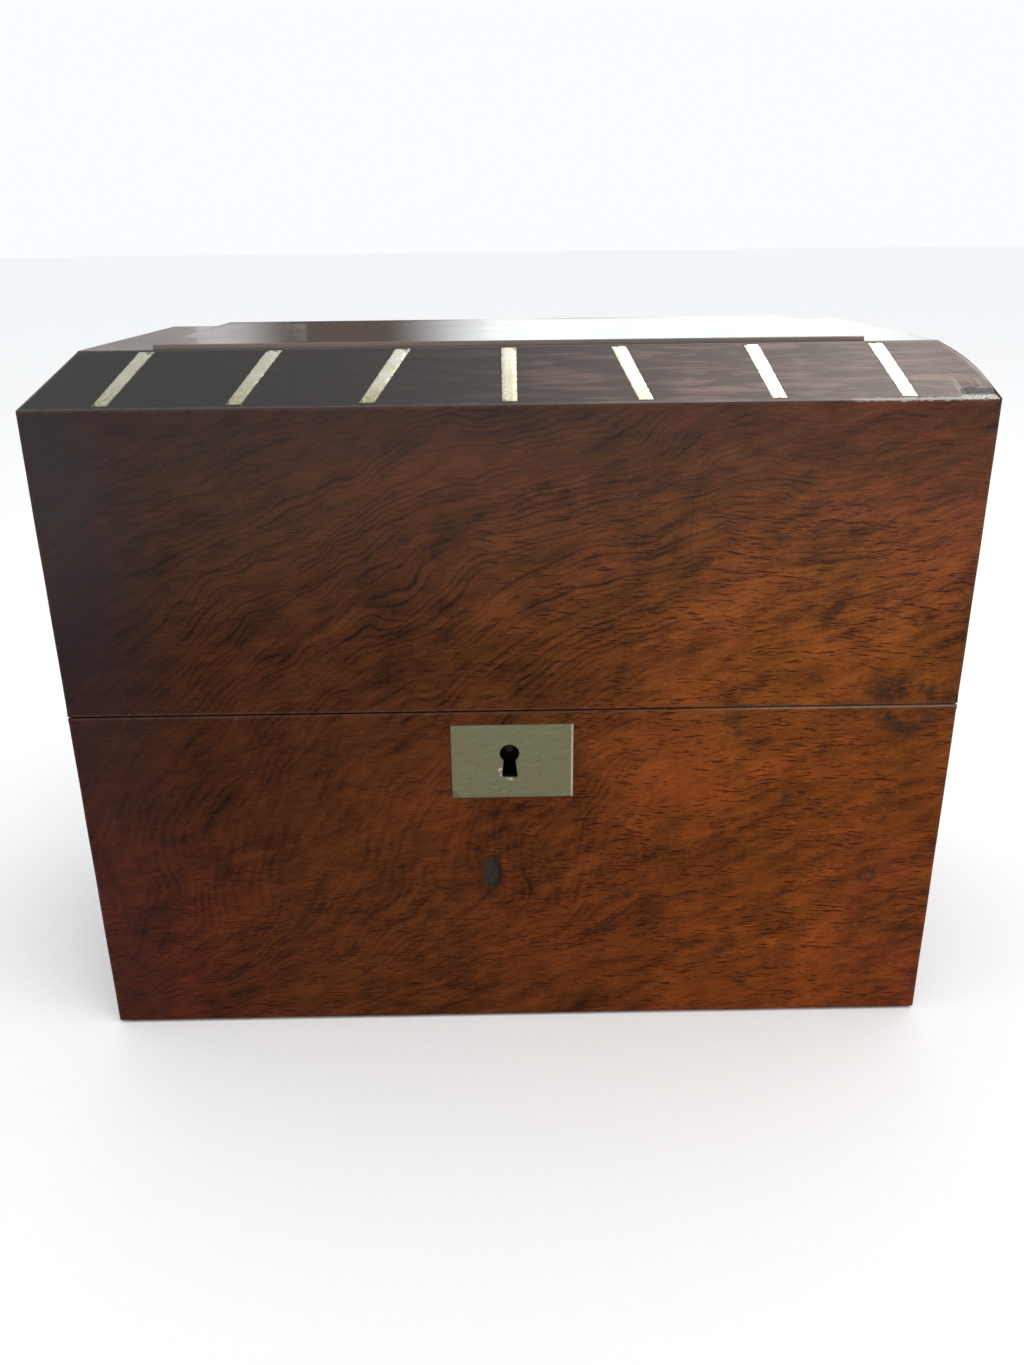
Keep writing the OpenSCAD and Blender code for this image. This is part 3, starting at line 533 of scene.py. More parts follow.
def chamfer_rosewood():
    """The front chamfer: streaks along its length, near black at the left by painted shade, with
    painted reflections in streaks towards the right.
    """
    s = wood_settings()
    g, colour, _, dash, _ = plain_rosewood("chamfer_rosewood", "x", "z", "y", 0.8, 40.0, 0.5)
    u, v = g.x, g.z
    # painted shade: the slope darkens towards the left, to near black at the left end
    colour = g.tint(colour, 0.20 + 0.75 * u.step(-60, 70))
    dark = u.step(-20, -112)
    colour = g.mix(dark * 0.9, colour, (0.0040, 0.0042, 0.0036))
    # painted reflection: pale rosy streaks along the slope towards the right
    sheen_streaks = g.noise(g.vector(u * 0.05, (v + g.y) * 0.40, 3.0), 1.0, 4, 0.6, 0.5)
    rosy = g.noise(g.vector(u * 0.03, v * 0.05, 8.0), 1.0, 2).step(0.42, 0.6)
    colour = g.mix(sheen_streaks.step(0.45, 0.66) * u.step(-40, 70) * 0.8, colour,
                   g.mix(rosy, (0.100, 0.070, 0.060), (0.170, 0.085, 0.066)))
    edge = edge_of(g)
    ragged = g.noise(g.vector(u, v, 6.0), 0.55, 3, 0.65)
    low = v.step(ARRIS / MM + 1.4, ARRIS / MM + 0.5)
    along = g.noise(g.vector(u * 0.35, 2.0, 8.0), 1.0, 3, 0.75)
    pale = (edge + (ragged - 0.5) * 1.0).step(0.75, 0.35) * low
    pale = pale * u.step(76, 84) * along.step(0.30, 0.42)
    wear = (edge + (ragged - 0.5) * 1.4).step(0.8, 0.1)
    chip = chip_mask(g, u, v)
    colour = g.mix(wear * 0.5, colour, (0.07, 0.06, 0.055))
    colour = g.mix(pale.clamped(), colour, s.bare)
    grit = g.noise(g.vector(u * 1.6, v * 3.0, 1.0), 1.0, 4, 0.7)
    ledge = v.step(ARRIS / MM + 1.1, ARRIS / MM + 0.5) * grit.step(0.40, 0.5)
    under = g.mix(grit.step(0.45, 0.75), (0.016, 0.018, 0.017), (0.075, 0.078, 0.070))
    colour = g.mix(chip, colour, g.mix(ledge, under, (0.45, 0.46, 0.42)))
    rough = (0.34 + (sheen_streaks - 0.5) * 0.2 + pale * 0.3 + chip * 0.4 + dash * 0.1).clamped()
    height = (1 - dash * 0.5) * 0.5 + sheen_streaks * 0.3 + grit * chip * 0.8
    return g.finish(Base_Color=colour, Roughness=rough, Normal=g.bump(height, 0.06 * MM),
                    Specular_IOR_Level=0.44, Coat_Weight=0.22, Coat_Roughness=0.25)


def chip_mask(g, u, v):
    """The place at the right-hand corner where veneer is missing."""
    ragged = (g.noise(g.vector(u, v, 12.0), 0.45, 4, 0.6) - 0.5) * 5
    top = ARRIS / MM + 2.3
    return (u + ragged).step(CHIP_X, CHIP_X + 0.5) * (v + ragged * 0.45).step(top, top - 0.25)


def top_rosewood():
    """The flat top and its raised panel: dark, and the glossiest polish on the box."""
    g, colour, figure, dash, _ = plain_rosewood("top_rosewood", "x", "y", "z", 0.75, 60.0)
    u, v = g.x, g.y
    # rubbed edges painted pale: partly wear and partly a painted highlight along the edges
    wear = (edge_of(g) + (g.noise(g.vector(u, v, 2.0), 0.6, 3) - 0.5) * 0.9).step(0.55, 0.1)
    colour = g.mix(wear * 0.4, colour, (0.17, 0.15, 0.12))
    haze = g.noise(g.vector(u, v, 5.0), 0.05, 4, 0.6)
    scratch = scratches(g, u, v, 66.0)
    rough = (0.16 + (haze - 0.5) * 0.22 + scratch * 0.2 + wear * 0.1).clamped()
    height = haze * 0.6 + figure * 0.1 - scratch * 0.1 - dash * 0.2
    return g.finish(Base_Color=colour, Roughness=rough, Normal=g.bump(height, 0.05 * MM),
                    Specular_IOR_Level=0.5, Coat_Weight=0.4, Coat_Roughness=0.12)


def keyhole_shade(g, inside, outside):
    """Painted shade seen through the keyhole, on the parts in front of a depth into the box."""
    return spot_mask(g.x, g.z, -1.4, 80.5, 6.0, 9.0) * g.y.step(inside, outside)


def mahogany():
    """Planed boards: open pores and saw marks."""
    g = Graph("carcase_mahogany")
    u = g.x + g.y
    v = g.z + g.y * 0.3
    stripe = g.noise(g.vector(u * 0.01, v * 0.25, 2.0), 1.0, 4, 0.6)
    fibre = g.noise(g.vector(u * 0.08, v * 2.6, 5.0), 1.0, 4, 0.7)
    dash = pores(g, u, v, 2.4, 0.34, 0.3)
    colour = g.mix((stripe * 0.8 + fibre * 0.6 - 0.2).clamped(), (0.085, 0.032, 0.016),
                   (0.24, 0.115, 0.055))
    colour = g.mix(dash * 0.7, colour, (0.03, 0.012, 0.008))
    # painted shade: near black where the board shows through the keyhole
    colour = g.mix(keyhole_shade(g, -44, -48), colour, (0.004, 0.003, 0.0025))
    saw = (u * 2.1 + fibre * 2).sine() * 0.5 + 0.5
    height = (1 - dash) * 0.5 + fibre * 0.3 + saw * 0.08
    return g.finish(Base_Color=colour, Roughness=(0.62 + (stripe - 0.5) * 0.3).clamped(),
                    Normal=g.bump(height, 0.08 * MM), Specular_IOR_Level=0.3)


def ebony():
    """Turned ebony: near black, with the marks of the turning."""
    g = Graph("turned_ebony")
    grain = g.noise(g.vector(g.x * 1.2, g.y * 0.25, g.z * 0.2), 1.0, 4, 0.6)
    turning = (g.z * 9.0 + grain * 3).sine() * 0.5 + 0.5
    colour = g.mix(grain.step(0.35, 0.7), (0.006, 0.0042, 0.0034), (0.026, 0.014, 0.009))
    rub = g.z.step(98, 104) * g.noise(g.spot, 0.5, 3).step(0.4, 0.65)
    colour = g.mix(rub * 0.4, colour, (0.07, 0.04, 0.025))
    return g.finish(Base_Color=colour, Roughness=(0.26 + rub * 0.14 + grain * 0.1).clamped(),
                    Normal=g.bump(turning * 0.6 + grain * 0.4, 0.02 * MM), Coat_Weight=0.1,
                    Coat_Roughness=0.2)


# ---------------------------------------------------------------- metals

def brushed(name, colour_value, tarnish, rough):
    """What the brasses share: brushing from side to side and tarnish in patches."""
    g = Graph(name)
    u, v = g.x, g.z + g.y
    brush = g.noise(g.vector(u * 0.12, v * 5.0, g.y), 1.0, 4, 0.7)
    cloud = g.noise(g.spot, 0.16, 4, 0.6)
    spots = g.noise(g.spot, 1.1, 4, 0.6).step(0.60, 0.72)
    scratch = scratches(g, u * 3, v * 2, 5.0)
    colour = g.mix(cloud.step(0.35, 0.7) * 0.5, tuple(colour_value), tarnish)
    colour = g.mix(brush.step(0.3, 0.75) * 0.3, colour, g.tint(colour, 1.35))
    colour = g.mix(spots * 0.5, colour, tuple(c * 0.45 for c in tarnish))
    colour = g.mix(scratch * 0.15, colour, g.tint(colour, 1.4))
    roughness = (rough + (brush - 0.5) * 0.25 + (cloud - 0.5) * 0.2 + spots * 0.2).clamped()
    height = brush * 0.6 - scratch * 0.4 - spots * 0.2
    return g, colour, roughness, height


def brass(name, colour_value, tarnish, rough, metallic=1.0):
    """Brass of the lock and hinges, with painted shade where the keyhole lies in front of it."""
    g, colour, roughness, height = brushed(name, colour_value, tarnish, rough)
    # painted shade: near black where the lock shows through the keyhole
    colour = g.mix(keyhole_shade(g, -46.3, -46.8), colour, (0.004, 0.003, 0.0025))
    return g.finish(Base_Color=colour, Roughness=roughness, Metallic=metallic,
                    Normal=g.bump(height, 0.02 * MM))


def strip_brass():
    """The strips: pale, brushed across, greenish where they meet the wood, with painted shade low
    down and towards the left.
    """
    g, colour, roughness, height = brushed(
        "strip_brass", metal_settings().strip, (0.36, 0.35, 0.22), 0.30)
    ragged = g.noise(g.spot, 1.4, 3, 0.6)
    grime = (edge_of(g) + (ragged - 0.5) * 0.9).step(0.34, 0.08)
    # olive low on the slope, partly tarnish and partly painted shade, deepest towards the left
    low = g.z.step(ARRIS / MM + 7.5, ARRIS / MM + 1.0) * ragged.step(0.34, 0.54)
    low = low * (0.35 + 0.65 * g.x.step(20, -40))
    colour = g.mix(low * 0.85, colour, (0.20, 0.19, 0.085))
    # painted shade: the strips are darker towards the left end
    dull = g.x.step(-20, -75)
    colour = g.mix(dull * 0.45, colour, (0.36, 0.35, 0.26))
    colour = g.mix(grime * 0.8, colour, (0.05, 0.048, 0.03))
    return g.finish(Base_Color=colour, Roughness=(roughness + low * 0.25 + grime * 0.2).clamped(),
                    Metallic=1.0, Normal=g.bump(height, 0.02 * MM))


def escutcheon_brass():
    """The escutcheon: dull olive brass, brushed side to side, a worn right edge painted bright as
    a highlight and the burr that keys have left at the foot of the keyhole."""
    g, colour, roughness, height = brushed(
        "escutcheon_brass", metal_settings().plate, (0.15, 0.145, 0.09), 0.46)
    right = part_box("escutcheon")[1].x / MM
    # painted highlight: the right edge is lightened where the light falls on it, on top of its
    # wear
    bright = g.x.step(right - 0.8, right - 0.3)
    colour = g.mix(bright * 0.6, colour, (0.62, 0.60, 0.42))
    burr = spot_mask(g.x, g.z, -2.4, 77.2, 2.2, 1.5, -0.5)
    burr = burr * g.noise(g.spot, 1.6, 3, 0.7).step(0.45, 0.56)
    colour = g.mix(burr * 0.8, colour, (0.72, 0.70, 0.58))
    slant = g.noise(g.vector(g.x * 0.1 + g.z * 0.3, g.z * 1.1 - g.x * 0.35, 3.0), 1.0, 2)
    colour = g.mix(slant.step(0.50, 0.72) * 0.20, colour, (0.27, 0.28, 0.17))
    grime = edge_of(g).step(0.35, 0.05)
    colour = g.mix(grime * 0.5, colour, (0.07, 0.06, 0.035))
    return g.finish(Base_Color=colour, Roughness=(roughness + grime * 0.2).clamped(),
                    Metallic=0.85, Normal=g.bump(height + burr * 0.4, 0.025 * MM))


def steel():
    """Dull steel with rust in patches."""
    g = Graph("dull_steel")
    turn = g.noise(g.vector(g.x * 0.4, (g.y + g.z) * 3.0, 1.0), 1.0, 4, 0.7)
    rust = g.noise(g.spot, 0.8, 4, 0.65).step(0.52, 0.68)
    colour = g.mix(rust * 0.6, (0.30, 0.30, 0.31), (0.12, 0.055, 0.025))
    return g.finish(Base_Color=colour, Roughness=(0.36 + rust * 0.35).clamped(),
                    Metallic=(1 - rust * 0.6).clamped(), Normal=g.bump(turn, 0.02 * MM))


def lead_foil():
    """Creased tea lead, stained by what it has held."""
    g = Graph("tea_lead_foil")
    cloud = g.noise(g.spot, 0.09, 5, 0.6)
    stain = g.noise(g.spot, 0.03, 4, 0.6).step(0.46, 0.68)
    crease = g.noise(g.spot, 0.5, 4, 0.6)
    colour = g.mix(cloud.step(0.35, 0.7), (0.26, 0.265, 0.275), (0.46, 0.465, 0.47))
    colour = g.mix(stain * 0.5, colour, (0.16, 0.12, 0.085))
    return g.finish(Base_Color=colour, Roughness=(0.42 + (cloud - 0.5) * 0.3).clamped(),
                    Metallic=(0.85 - stain * 0.4).clamped(),
                    Normal=g.bump(crease, 0.12 * MM))


# ---------------------------------------------------------------- cloths

def baize():
    """Green baize, worn thin in patches."""
    g = Graph("green_baize")
    fuzz = g.noise(g.spot, 2.6, 5, 0.75)
    worn = g.noise(g.spot, 0.035, 4, 0.6).step(0.5, 0.72)
    colour = g.tint(g.mix(0.0, tuple(bpy.context.scene.caddy_cloth.baize), (0, 0, 0)),
                    0.6 + fuzz * 0.9)
    colour = g.mix(worn * 0.5, colour, (0.055, 0.060, 0.036))
    return g.finish(Base_Color=colour, Roughness=0.95, Sheen_Weight=0.3,
                    Normal=g.bump(fuzz, 0.25 * MM), Specular_IOR_Level=0.15)


def lid_cloth():
    """Fine ribbed cloth glued to card, faded in the middle."""
    g = Graph("blue_cloth")
    rib = (g.x * 7.0).sine() * 0.5 + 0.5
    weft = (g.y * 11.0).sine() * 0.5 + 0.5
    fade = g.noise(g.spot, 0.02, 3, 0.6)
    nap = g.noise(g.spot, 1.8, 4, 0.7)
    colour = g.tint(g.mix(fade.step(0.4, 0.7), tuple(bpy.context.scene.caddy_cloth.card),
                          (0.075, 0.085, 0.19)), 0.7 + nap * 0.6)
    return g.finish(Base_Color=colour, Roughness=(0.85 + (nap - 0.5) * 0.1).clamped(),
                    Sheen_Weight=0.5, Normal=g.bump(rib * 0.6 + weft * 0.3 + nap * 0.3,
                                                    0.08 * MM),
                    Specular_IOR_Level=0.2)


# ---------------------------------------------------------------- mesh tools

def new_object(name, mesh):
    """Puts a new object in the scene."""
    made = bpy.data.objects.new(name, mesh)
    bpy.context.scene.collection.objects.link(made)
    return made


def dress(piece, node, body, material):
    """Gives a piece its material and hands it to the frame in place of its CAD node."""
    piece.data.materials.clear()
    piece.data.materials.append(material)
    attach(piece, body)
    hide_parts(node)
    return piece


def spaced(length, step):
    """Distances from 0 to length: close together near both ends, step apart between."""
    near = [d for d in FINE_EDGE if d < length / 2]
    count = max(1, round((length - 2 * near[-1]) / step))
    inside = [near[-1] + (length - 2 * near[-1]) * i / count for i in range(1, count)]
    return near + inside + [length - d for d in reversed(near)]


def bilinear(corners, s, t):
    """Points of a four-cornered face: s runs from corner 0 to 1, t from corner 0 to 3."""
    a, b, c, d = (np.array(p) for p in corners)
    s, t = s[..., None], t[..., None]
    return a * (1 - s) * (1 - t) + b * s * (1 - t) + c * s * t + d * (1 - s) * t


def nearest_inside(points, normals, reach):
    """The nearest points of a convex solid, by projecting on its planes in turn."""
    found = points.copy()
    kept = np.zeros((len(normals), *points.shape))
    for _ in range(60):
        for k, normal in enumerate(normals):
            trial = found + kept[k]
            over = np.maximum(trial @ normal - reach[k], 0)
            found_next = trial - over[:, None] * normal
            kept[k] = trial - found_next
            found = found_next
    return found


def rounded(points, planes, radius):
    """Points of a convex solid's sharp surface moved on to its rounded one, with normals.
    planes are (normal, distance) pairs and radius has one value per point."""
    normals = np.array([n for n, d in planes])
    reach = [np.full(len(points), d) - radius for n, d in planes]
    core = nearest_inside(points, normals, reach)
    away = points - core
    away /= np.maximum(np.linalg.norm(away, axis=1), 1e-12)[:, None]
    return core + away * radius[:, None], away


def wobble(points, scale, seed):
    """Smooth noise from -1 to 1 at each point, the same on every run."""
    shift = Vector((seed, seed * 0.7, -seed))
    return np.array([noise.noise(Vector(p) * scale + shift) for p in points])


def plank_planes(low_z, high_z, chamfered):
    """The planes of the base's or lid's outside."""
    root = math.sqrt(0.5)
    planes = [((1, 0, 0), HALF_W), ((-1, 0, 0), HALF_W), ((0, 1, 0), HALF_D),
              ((0, -1, 0), HALF_D), ((0, 0, 1), high_z), ((0, 0, -1), -low_z)]
    if chamfered:
        for x, y, half in ((1, 0, HALF_W), (-1, 0, HALF_W), (0, 1, HALF_D), (0, -1, HALF_D)):
            planes.append(((x * root, y * root, root), (half + ARRIS) * root))
    return [(np.array(n, float), d) for n, d in planes]


LID_PLANES = plank_planes(SEAM, FLAT, True)
BASE_PLANES = plank_planes(BASE_LOW.z, RIM, False)
FINE_EDGE = [d * MM for d in (0, 0.12, 0.3, 0.55, 0.85, 1.3, 2.0)]


def wear_radius(points):
    """Rounding at each point: more at the hips and corners, and uneven along an edge."""
    s = wood_settings()
    radius = s.edge_round * (1 + 0.35 * wobble(points, 55.0, 3.0))
    on_slope = np.clip((points[:, 2] - ARRIS) / CHAMFER, 0, 1)
    hip = np.clip(1 - np.abs((HALF_W - np.abs(points[:, 0])) - (HALF_D - np.abs(points[:, 1])))
                  / (4 * MM), 0, 1)
    radius = radius * (1 + 1.6 * hip * np.sin(np.pi * on_slope) ** 0.5)
    rim = np.minimum(np.abs(points[:, 2] - RIM), np.abs(points[:, 2] - SEAM)) / (3 * MM)
    return radius * np.clip(0.45 + rim, 0.45, 1)


def right_bulge(points):
    """The right-hand end of the lid's slope stands out in a soft curve."""
    rise = np.clip((points[:, 2] - ARRIS) / CHAMFER, 0, 1)
    near = np.clip(1 - (HALF_W - points[:, 0] - (points[:, 2] - ARRIS)) / (9 * MM), 0, 1)
    size = 1.7 * MM * np.sin(np.pi * rise ** 1.15) * near ** 2
    size[points[:, 2] < ARRIS] = 0
    return size[:, None] * np.array([0.85, 0, 0.35])


def corner_chip(points, normals):
    """Veneer missing from the lid's front right corner."""
    ragged = wobble(points, 700.0, 9.0) * 0.5 * MM
    across = points[:, 0] - CHIP_X * MM + ragged
    up = ARRIS + 2.6 * MM + ragged - points[:, 2]
    down = points[:, 2] - ARRIS + 0.5 * MM
    depth = np.clip(np.minimum.reduce([across, up, down]) / (0.35 * MM), 0, 1)
    depth[points[:, 1] > -HALF_D + 4 * MM] = 0
    return -normals * (depth * 0.5 * MM * (0.8 + 0.3 * wobble(points, 900.0, 4.0)))[:, None]


def small_chips(points, normals):
    """Nicks along the arris towards the right."""
    along = wobble(points * np.array([1, 0, 0]), 330.0, 7.0)
    place = np.clip((points[:, 0] - 60 * MM) / (25 * MM), 0, 1)
    arris = np.clip(1 - np.abs(points[:, 2] - ARRIS) / (0.9 * MM), 0, 1)
    depth = np.clip(along - 0.05, 0, 1) * place * arris * (points[:, 1] < -HALF_D + 2 * MM)
    return -normals * (depth * 0.5 * MM)[:, None]


def face_piece(name, outer, inner, planes, chipped=False):
    """A sheet of veneer as a closed solid: a rounded, slightly rippled outside over a flat
    back. outer and inner are the corners of the sharp outside and of the back."""
    step = 2.2 * MM
    width = (Vector(outer[1]) - Vector(outer[0])).length
    height = (Vector(outer[3]) - Vector(outer[0])).length
    s_all = np.array(spaced(width, step)) / width
    t_all = np.array(spaced(height, step)) / height
    if chipped:
        extra = 1 - np.arange(0.25, 11, 0.25) * MM / width
        s_all = np.unique(np.concatenate([s_all, extra]).round(6))
    s, t = np.meshgrid(s_all, t_all)
    sharp = bilinear(outer, s, t).reshape(-1, 3)
    points, normals = rounded(sharp, planes, wear_radius(sharp))
    ripple = 0.5 + 0.35 * wobble(sharp, 22.0, 1.0) + 0.15 * wobble(sharp, 90.0, 2.0)
    points -= normals * (wood_settings().ripple * ripple)[:, None]
    if planes is LID_PLANES:
        points += right_bulge(sharp)
    if chipped:
        points += corner_chip(sharp, normals) + small_chips(sharp, normals)
    rows, columns = s.shape
    vertices = [tuple(p) for p in points]
    index = np.arange(rows * columns).reshape(rows, columns)
    faces = [(index[r, c], index[r, c + 1], index[r + 1, c + 1], index[r + 1, c])
             for r in range(rows - 1) for c in range(columns - 1)]
    ring = [*index[0, :], *index[1:, -1], *index[-1, -2::-1], *index[-2:0:-1, 0]]
    flat_s, flat_t = s.ravel(), t.ravel()
    start = len(vertices)
    for i in ring:
        vertices.append(tuple(bilinear(inner, flat_s[i:i + 1], flat_t[i:i + 1])[0]))
    count = len(ring)
    for k in range(count):
        n = (k + 1) % count
        faces.append((ring[n], ring[k], start + k, start + n))
    faces.append(tuple(range(start + count - 1, start - 1, -1)))
    mesh = bpy.data.meshes.new(name)
    mesh.from_pydata(vertices, [], [tuple(int(i) for i in f) for f in faces])
    mark_edges(mesh, [outer])
    tidy_normals(mesh)
    return new_object(name, mesh)


def tidy_normals(mesh, sharp_angle=40.0):
    """Faces turned outwards and smooth, with edges past an angle kept sharp."""
    shape = bmesh.new()
    shape.from_mesh(mesh)
    bmesh.ops.recalc_face_normals(shape, faces=shape.faces)
    for face in shape.faces:
        face.smooth = True
    for edge in shape.edges:
        if len(edge.link_faces) == 2:
            edge.smooth = edge.calc_face_angle(0.0) < math.radians(sharp_angle)
    shape.to_mesh(mesh)
    shape.free()


def mark_edges(mesh, outlines, flatten=None):
    """Stores each point's distance to the outlines, in millimetres. flatten is the matrix to
    the frame in which flat outlines lie."""
    sides = [(Vector(a), Vector(b)) for line in outlines
             for a, b in zip(line, line[1:] + line[:1])]
    values = []
    for vertex in mesh.vertices:
        point = (flatten @ vertex.co).to_2d() if flatten else vertex.co
        best = 9 * MM
        for a, b in sides:
            along = max(0.0, min(1.0, (point - a).dot(b - a) / (b - a).length_squared))
            best = min(best, (point - a - (b - a) * along).length)
        values.append(best / MM)
    found = mesh.attributes.get("edge") or mesh.attributes.new("edge", "FLOAT", "POINT")
    found.data.foreach_set("value", values)


def carve(piece, cutters, corners):
    """Cuts pockets in a sheet whose outside has those corners, for good."""
    for cutter in cutters:
        cut = piece.modifiers.new("pocket", "BOOLEAN")
        cut.operation = "DIFFERENCE"
        cut.solver = "EXACT"
        cut.object = cutter
    shown = bpy.context.evaluated_depsgraph_get()
    result = bpy.data.meshes.new_from_object(piece.evaluated_get(shown))
    piece.modifiers.clear()
    piece.data = result
    tidy_normals(result)
    mark_edges(result, [corners])
    for cutter in cutters:
        bpy.data.objects.remove(cutter)
    return piece


def prism(name, outline, frame_matrix, low, high, holes=(), bevel=0.0, steps=3, step=None):
    """A plate from an outline: points in the frame's own X and Y, low to high along its Z.
    Its edges are rounded by bevel, and "edge" holds each point's distance to an edge."""
    shape = bmesh.new()
    loops = []
    for points in (outline, *holes):
        ring = [shape.verts.new((x, y, low)) for x, y in points]
        loops.append([shape.edges.new((a, b)) for a, b in zip(ring, ring[1:] + ring[:1])])
    bmesh.ops.triangle_fill(shape, edges=[e for loop in loops for e in loop],
                            use_beauty=True)
    bmesh.ops.dissolve_limit(shape, angle_limit=0.01, verts=shape.verts, edges=shape.edges)
    made = bmesh.ops.extrude_face_region(shape, geom=list(shape.faces))
    top = [g for g in made["geom"] if isinstance(g, bmesh.types.BMVert)]
    bmesh.ops.translate(shape, vec=(0, 0, high - low), verts=top)
    bmesh.ops.recalc_face_normals(shape, faces=shape.faces)
    if bevel:
        hard = [e for e in shape.edges
                if len(e.link_faces) == 2 and e.calc_face_angle(0) > math.radians(30)]
        bmesh.ops.bevel(shape, geom=hard, offset=bevel, segments=steps, profile=0.5,
                        affect="EDGES")
    if step:
        slice_up(shape, step)
    bmesh.ops.transform(shape, matrix=frame_matrix, verts=shape.verts)
    mesh = bpy.data.meshes.new(name)
    shape.to_mesh(mesh)
    shape.free()
    mark_edges(mesh, [outline, *holes], frame_matrix.inverted())
    tidy_normals(mesh)
    return new_object(name, mesh)


def slice_up(shape, step):
    """Cuts a shape across X and Y so that it can bend and take detail."""
    for axis in (0, 1):
        low = min(v.co[axis] for v in shape.verts)
        high = max(v.co[axis] for v in shape.verts)
        normal = Vector([float(axis == k) for k in range(3)])
        for n in range(1, int((high - low) / step)):
            bmesh.ops.bisect_plane(shape, geom=[*shape.verts, *shape.edges, *shape.faces],
                                   plane_co=normal * (low + n * step), plane_no=normal)


def soften(node, material, width, segments=3):
    """A CAD node keeps its mesh and gets rounded edges and a material."""
    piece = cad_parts[node]
    piece.data.materials.clear()
    piece.data.materials.append(material)
    weld = piece.modifiers.new("weld", "WELD")
    weld.merge_threshold = 1e-6
    bevel = piece.modifiers.new("worn edges", "BEVEL")
    bevel.width = width
    bevel.segments = segments
    bevel.limit_method = "ANGLE"
    bevel.angle_limit = math.radians(35)
    flats = piece.modifiers.new("flat faces", "WEIGHTED_NORMAL")
    flats.weight = 100
    for polygon in piece.data.polygons:
        polygon.use_smooth = True
    return piece


def lathe(name, profile, centre, around=48):
    """A turned piece from (radius, height) points, closed at both ends."""
    vertices = [tuple(centre + Vector((0, 0, profile[0][1])))]
    for radius, height in profile[1:-1]:
        for k in range(around):
            a = 2 * math.pi * k / around
            vertices.append(tuple(centre + Vector((radius * math.cos(a), radius * math.sin(a),
                                                   height))))
    vertices.append(tuple(centre + Vector((0, 0, profile[-1][1]))))
    last = len(vertices) - 1
    rings = len(profile) - 2
    faces = []
    for k in range(around):
        n = (k + 1) % around
        faces.append((0, 1 + n, 1 + k))
        faces.append((last, 1 + (rings - 1) * around + k, 1 + (rings - 1) * around + n))
        for r in range(rings - 1):
            low, high = 1 + r * around, 1 + (r + 1) * around
            faces.append((low + k, low + n, high + n, high + k))
    mesh = bpy.data.meshes.new(name)
    mesh.from_pydata(vertices, [], faces)
    tidy_normals(mesh, 50)
    return new_object(name, mesh)


# ---------------------------------------------------------------- outside of the box

def mirrored(corners, x, y):
    """Corners mirrored across the box's middle where x or y is -1."""
    return [(px * x, py * y, pz) for px, py, pz in corners]


def wall_corners(low_z, high_z, inset, drop=0.0):
    """Corners of the front wall's sheet, or of the left wall's, seen from outside."""
    w, d = HALF_W - inset, HALF_D - inset
    front = [(-w, -d, low_z), (w, -d, low_z), (w, -d, high_z - drop), (-w, -d, high_z - drop)]
    left = [(-w, d, low_z), (-w, -d, low_z), (-w, -d, high_z - drop), (-w, d, high_z - drop)]
    return front, left


def slope_corners(inset):
    """Corners of the chamfer's front and left sheets, on the outside or at the back."""
    k = MITRE * inset
    w, d = HALF_W - inset, HALF_D - inset
    tw, td = HALF_W - CHAMFER - k, HALF_D - CHAMFER - k
    low, high = ARRIS - k, FLAT - inset
    front = [(-w, -d, low), (w, -d, low), (tw, -td, high), (-tw, -td, high)]
    left = [(-w, d, low), (-w, -d, low), (-tw, -td, high), (-tw, td, high)]
    return front, left


def four_sides(stem, outer, inner, planes, chipped=False):
    """The four sheets of a wall or slope, each with its side's name and its corners."""
    sides = {"front": (0, 1, 1), "back": (0, -1, -1), "left": (1, 1, 1), "right": (1, -1, -1)}
    for side, (kind, x, y) in sides.items():
        corners = mirrored(outer[kind], x, y)
        piece = face_piece(stem % side + "_sheet", corners, mirrored(inner[kind], x, y), planes,
                           chipped=chipped and side == "front")
        yield side, piece, corners


def frame_at(centre, x_axis, y_axis):
    """A matrix whose X and Y lie along two directions."""
    x, y = Vector(x_axis).normalized(), Vector(y_axis).normalized()
    z = x.cross(y)
    made = Matrix((x, y, z)).transposed().to_4x4()
    made.translation = centre
    return made


def rectangle(x0, y0, x1, y1):
    """The corners of an upright rectangle."""
    return [(x0, y0), (x1, y0), (x1, y1), (x0, y1)]


SLOPE_FRAME = frame_at(Vector((0, -HALF_D, ARRIS)), (1, 0, 0), (0, 1, 1))
FACE_FRAME = frame_at(Vector((0, -HALF_D, 0)), (1, 0, 0), (0, 0, 1))
BACK_FRAME = frame_at(Vector((0, HALF_D, 0)), (1, 0, 0), (0, 0, 1))


def strip_outline(node):
    """A strip's four corners on the slope, found from its CAD solid."""
    back = SLOPE_FRAME.inverted()
    flat = [back @ v.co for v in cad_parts[node].data.vertices]
    low = min(p.y for p in flat)
    high = max(p.y for p in flat)
    foot = [p.x for p in flat if p.y < low + 0.1 * MM]
    head = [p.x for p in flat if p.y > high - 0.1 * MM]
    return [(min(foot), low), (max(foot), low), (max(head), high), (min(head), high)]


def grown(outline, gap):
    """A convex outline pushed out from its middle by about a gap."""
    middle = sum((Vector(p) for p in outline), Vector((0, 0))) / len(outline)
    found = []
    for point in outline:
        away = Vector(point) - middle
        found.append((point[0] + gap * math.copysign(1, away.x),
                      point[1] + gap * math.copysign(1, away.y)))
    return found


def key_outline():
    """The keyhole: a round eye over a slot that widens downwards."""
    start = math.asin(NECK / EYE)
    points = []
    for k in range(25):
        a = -math.pi / 2 + start + (2 * math.pi - 2 * start) * k / 24
        points.append((KEY_X + EYE * math.cos(a), KEY_Z + EYE * math.sin(a)))
    soft = 0.6 * MM
    for cx, turn in ((KEY_X - FOOT + soft, math.pi), (KEY_X + FOOT - soft, 1.5 * math.pi)):
        for k in range(5):
            a = turn + math.pi / 2 * k / 4
            points.append((cx + soft * math.cos(a), KEY_Z - SLOT + soft + soft * math.sin(a)))
    return points


